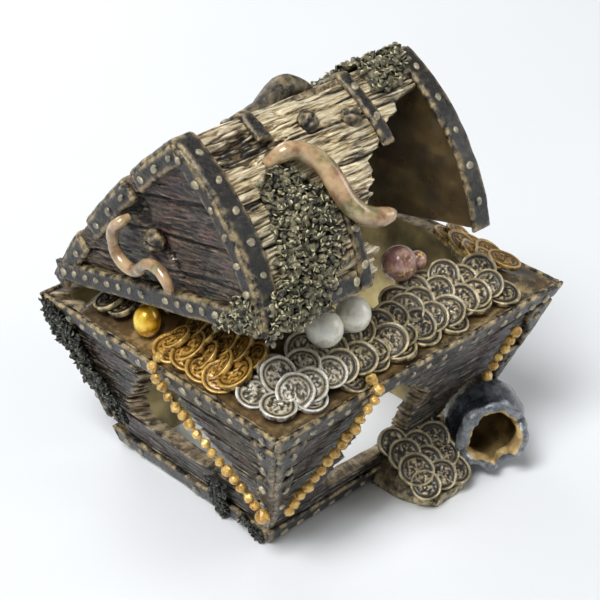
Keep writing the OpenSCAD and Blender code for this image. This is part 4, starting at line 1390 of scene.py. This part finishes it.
# The hump on the ridge: a thick handle, its ends sunk in the planks.
handle = Bag()
t = np.linspace(0, 1, 40)
HANDLE_START, HANDLE_LENGTH, HANDLE_Y = -40, 33, RIDGE_Y + 5
handle_n = RIDGE_N - 2.5 + 5.5 * np.sin(math.pi * t ** 1.5) ** 1.5
handle_r = 3.0 + 1.6 * np.sin(math.pi * t**1.3) + 0.5 * noise(t * 9, 0.5, 0.5, 211)
handle_path = in_lid(HANDLE_START + HANDLE_LENGTH * t, HANDLE_Y, handle_n)
verts, faces = tube(handle_path, handle_r, 24, 1.0, (0, 1, 0.1))
lumps = fbm(*verts.T / 4, 3, 212)
handle_middle = in_lid(-22, HANDLE_Y, RIDGE_N)
verts = handle_middle + (verts - handle_middle) * (1 + 0.05 * lumps)[:, None]
handle.add(verts, faces, np.clip(0.45 + 0.5 * lumps, 0, 1))
handle.build("ridge_handle", iron)


# ---------------------------------------------------------------- eels
def bent(start, heading, turns, radius, count=26):
    """A path on a surface: arcs that turn left when positive."""
    u, v, a = start[0], start[1], math.radians(heading)
    path = [(u, v)]
    for turn in turns:
        step = math.radians(turn) / count
        for _ in range(count):
            a += step / 2
            u += math.cos(a) * abs(step) * radius
            v += math.sin(a) * abs(step) * radius
            a += step / 2
            path.append((u, v))
    return np.array(path)


def build_eel(name, path3, thick, nose, seed, eye=False):
    """A glossy eel: a tapering body with a few soft wrinkles and a blunt head."""
    t = np.linspace(0, 1, len(path3))
    body = thick * np.interp(t, [0, 0.08, 0.5, 0.9, 0.97, 1.0], [0.62, 0.85, 1.0, 0.93, 0.72, nose])
    sides = 22
    verts, faces = tube(path3, body, sides, 0.94)
    wrinkle = fbm(*verts.T / 6, 3, seed)
    centre = np.repeat(path3, sides, axis=0)
    verts = centre + (verts - centre) * (1 + 0.05 * wrinkle)[:, None]
    bag = Bag()
    bag.add(verts, faces, np.clip(0.62 + 0.35 * wrinkle, 0, 1))
    if eye:
        direction = unit(path3[-1] - path3[-4])
        side = unit(np.cross(direction, (0, 0, 1)))
        spot = path3[-5] + thick * 0.62 * unit(UP + 0.8 * side)
        ball(bag, spot, (0.75, 0.75, 0.75), 9, 0.0, 8, 12)
        bag.tone[-1] = np.zeros(len(bag.verts[-1]))
    bag.build(name, eel_paint)


EEL_R = 4.4
crest = bent((-49, 0.73 * SLOPE.length), 12, (-98,), 15.5)
drop = crest[-1] + np.array([[0.1, -1.6], [0.3, -3.2], [0.5, -4.8]])
path = np.concatenate([crest, drop, bent(drop[-1] + (0.1, -0.5), -86, (84,), 15.5)])
path = np.concatenate([path, path[-1] + np.array([[1.0, 0], [2.2, 0.1], [3.4, 0.2]])])
t = np.linspace(0, 1, len(path))
rise = EEL_R + BAND - 1.0 + np.interp(t, [0, 0.1, 0.3, 0.75, 1], [-6, 0.5, 0.5, 0.8, 3.5])
build_eel("large_eel", SLOPE.place(path[:, 0], path[:, 1], rise), EEL_R, 0.35, 221, True)

small = bent((63, 36), 205, (12, -12, 40, 110, 25, 20, -20, -70, -45), 9.5, 10)
rise = 2.6 + BAND + np.interp(np.linspace(0, 1, len(small)), [0, 0.12, 0.8, 1], [-4, 0, 0, 0.5])
build_eel("small_eel", END_LEFT.place(small[:, 0], small[:, 1], rise), 2.7, 0.3, 231)


# ---------------------------------------------------------------- moss on the lid
def moss_on_slope(name, shape, seed, more_roots, more_normals):
    """Moss inside a shape on the front slope, and on further roots."""
    near = uneven(inside(polygon(shape)), 3.0, 5, seed)
    us, vs = zip(*shape)
    u, v = scatter(near, min(us) - 4, max(us) + 4, min(vs) - 4, max(vs) + 4, 1.35, seed)
    pile = np.clip(near(u, v) / 5, 0, 1)
    roots = np.concatenate([SLOPE.place(u, v, BAND * 0.6 + 1.6 * pile), more_roots])
    bag = Bag()
    moss(bag, roots, np.concatenate([SLOPE.normal(v), more_normals]), seed, 3.6)
    bag.build(name, moss_paint)


corner = polygon([(LID_DEPTH - 25, 0), (LID_DEPTH, 0), (LID_DEPTH - 2, 13), (LID_DEPTH - 10, 14)])
u, v = scatter(uneven(inside(corner), 3.0, 5, 243), LID_DEPTH - 26, LID_DEPTH + 1, 0, 14, 1.2, 244)
corner_roots = END_LEFT.place(u, v, 1.0)
moss_on_slope(
    "moss_lid_front",
    [(-76, -1), (-76, 10), (-66, 17), (-62, 30), (-60, 48), (-52, 56), (-44, 55), (-38, 48), (-34, 34),
     (-33, 20), (-40, 12), (-44, 2), (-50, -1)],
    241, corner_roots, np.broadcast_to(in_lid_direction(-1.0, 0, 0), corner_roots.shape),
)
u, v = scatter(uneven(rectangle(9, 38, -1, 20), 3.0, 5, 252), 8, 40, -1, 22, 1.2, 253)
moss_on_slope(
    "moss_ridge", [(11, 66), (16, 72), (14, 79), (38, 79), (36, 70), (26, 65)],
    251, ROOF.place(u, v, BAND * 0.6 + 1.0), ROOF.normal(v),
)

# ---------------------------------------------------------------- stage, light and camera
FLOOR_SIZE, FLOOR_GAP = 60, 0.0005
bpy.ops.mesh.primitive_plane_add(size=FLOOR_SIZE, location=(0, 0, -FLOOR_GAP))
floor = bpy.context.active_object
floor.name = "floor"
p = Paint("floor_white")
p.link(p.ramp(p.noise(400, 2), [(0.3, "dcdfe3"), (0.7, "e1e4e7")]), p.shader.inputs["Base Color"])
p.shader.inputs["Roughness"].default_value = 0.7
floor.data.materials.append(p.material)

world = bpy.data.worlds.new("studio")
world.use_nodes = True
sky = world.node_tree.nodes["Background"]
sky.inputs["Color"].default_value = (1.0, 0.99, 0.97, 1)
sky.inputs["Strength"].default_value = 0.3
backdrop = world.node_tree.nodes.new("ShaderNodeBackground")
backdrop.inputs["Color"].default_value = colour("f0f2f4")
seen = world.node_tree.nodes.new("ShaderNodeLightPath")
either = world.node_tree.nodes.new("ShaderNodeMixShader")
world.node_tree.links.new(seen.outputs["Is Camera Ray"], either.inputs[0])
world.node_tree.links.new(sky.outputs[0], either.inputs[1])
world.node_tree.links.new(backdrop.outputs[0], either.inputs[2])
world.node_tree.links.new(either.outputs[0], world.node_tree.nodes["World Output"].inputs["Surface"])
bpy.context.scene.world = world


def light(name, kind, power, place=(0, 0, 0), heading=None):
    """Adds a light; heading is the way it shines, straight down when left out."""
    data = bpy.data.lights.new(name, kind)
    data.energy = power
    holder = bpy.data.objects.new(name, data)
    holder.location = place
    if heading is not None:
        holder.rotation_euler = Vector(heading).to_track_quat("-Z", "Y").to_euler()
    bpy.context.scene.collection.objects.link(holder)
    return data


LAMP_AIM = Vector((0, 0, 0.06))
for name, place, size, power in (("side", (0.8, -0.6, 0.5), 0.5, 2.4), ("rim", (0.2, 0.9, 0.6), 0.6, 3.2),
                                 ("key", (-0.45, -0.1, 0.8), 0.3, 3.2)):
    light(name, "AREA", power, place, LAMP_AIM - Vector(place)).size = size
light("sun", "SUN", 1.9, heading=(0.45, 0.1, -0.8)).angle = 0.5
light("inner", "AREA", 0.05, (0.012, 0.01, 0.062)).size = 0.05

TARGET = Vector((0, -0.001, 0.07))
AZIMUTH, ELEVATION, DISTANCE = math.radians(-43.81), math.radians(31.74), 0.6971
LENS, SHIFT_X, SHIFT_Y = 100.08, -0.0075, 0.0014
camera_data = bpy.data.cameras.new("camera")
camera_data.sensor_width = 36
camera_data.lens = LENS
camera_data.shift_x, camera_data.shift_y = SHIFT_X, SHIFT_Y
camera = bpy.data.objects.new("camera", camera_data)
level = math.cos(ELEVATION)
back = Vector((math.sin(AZIMUTH) * level, -math.cos(AZIMUTH) * level, math.sin(ELEVATION)))
camera.location = TARGET + back * DISTANCE
camera.rotation_euler = (-back).to_track_quat("-Z", "Y").to_euler()
bpy.context.scene.collection.objects.link(camera)
bpy.context.scene.camera = camera
bpy.context.scene.view_settings.view_transform = "Standard"
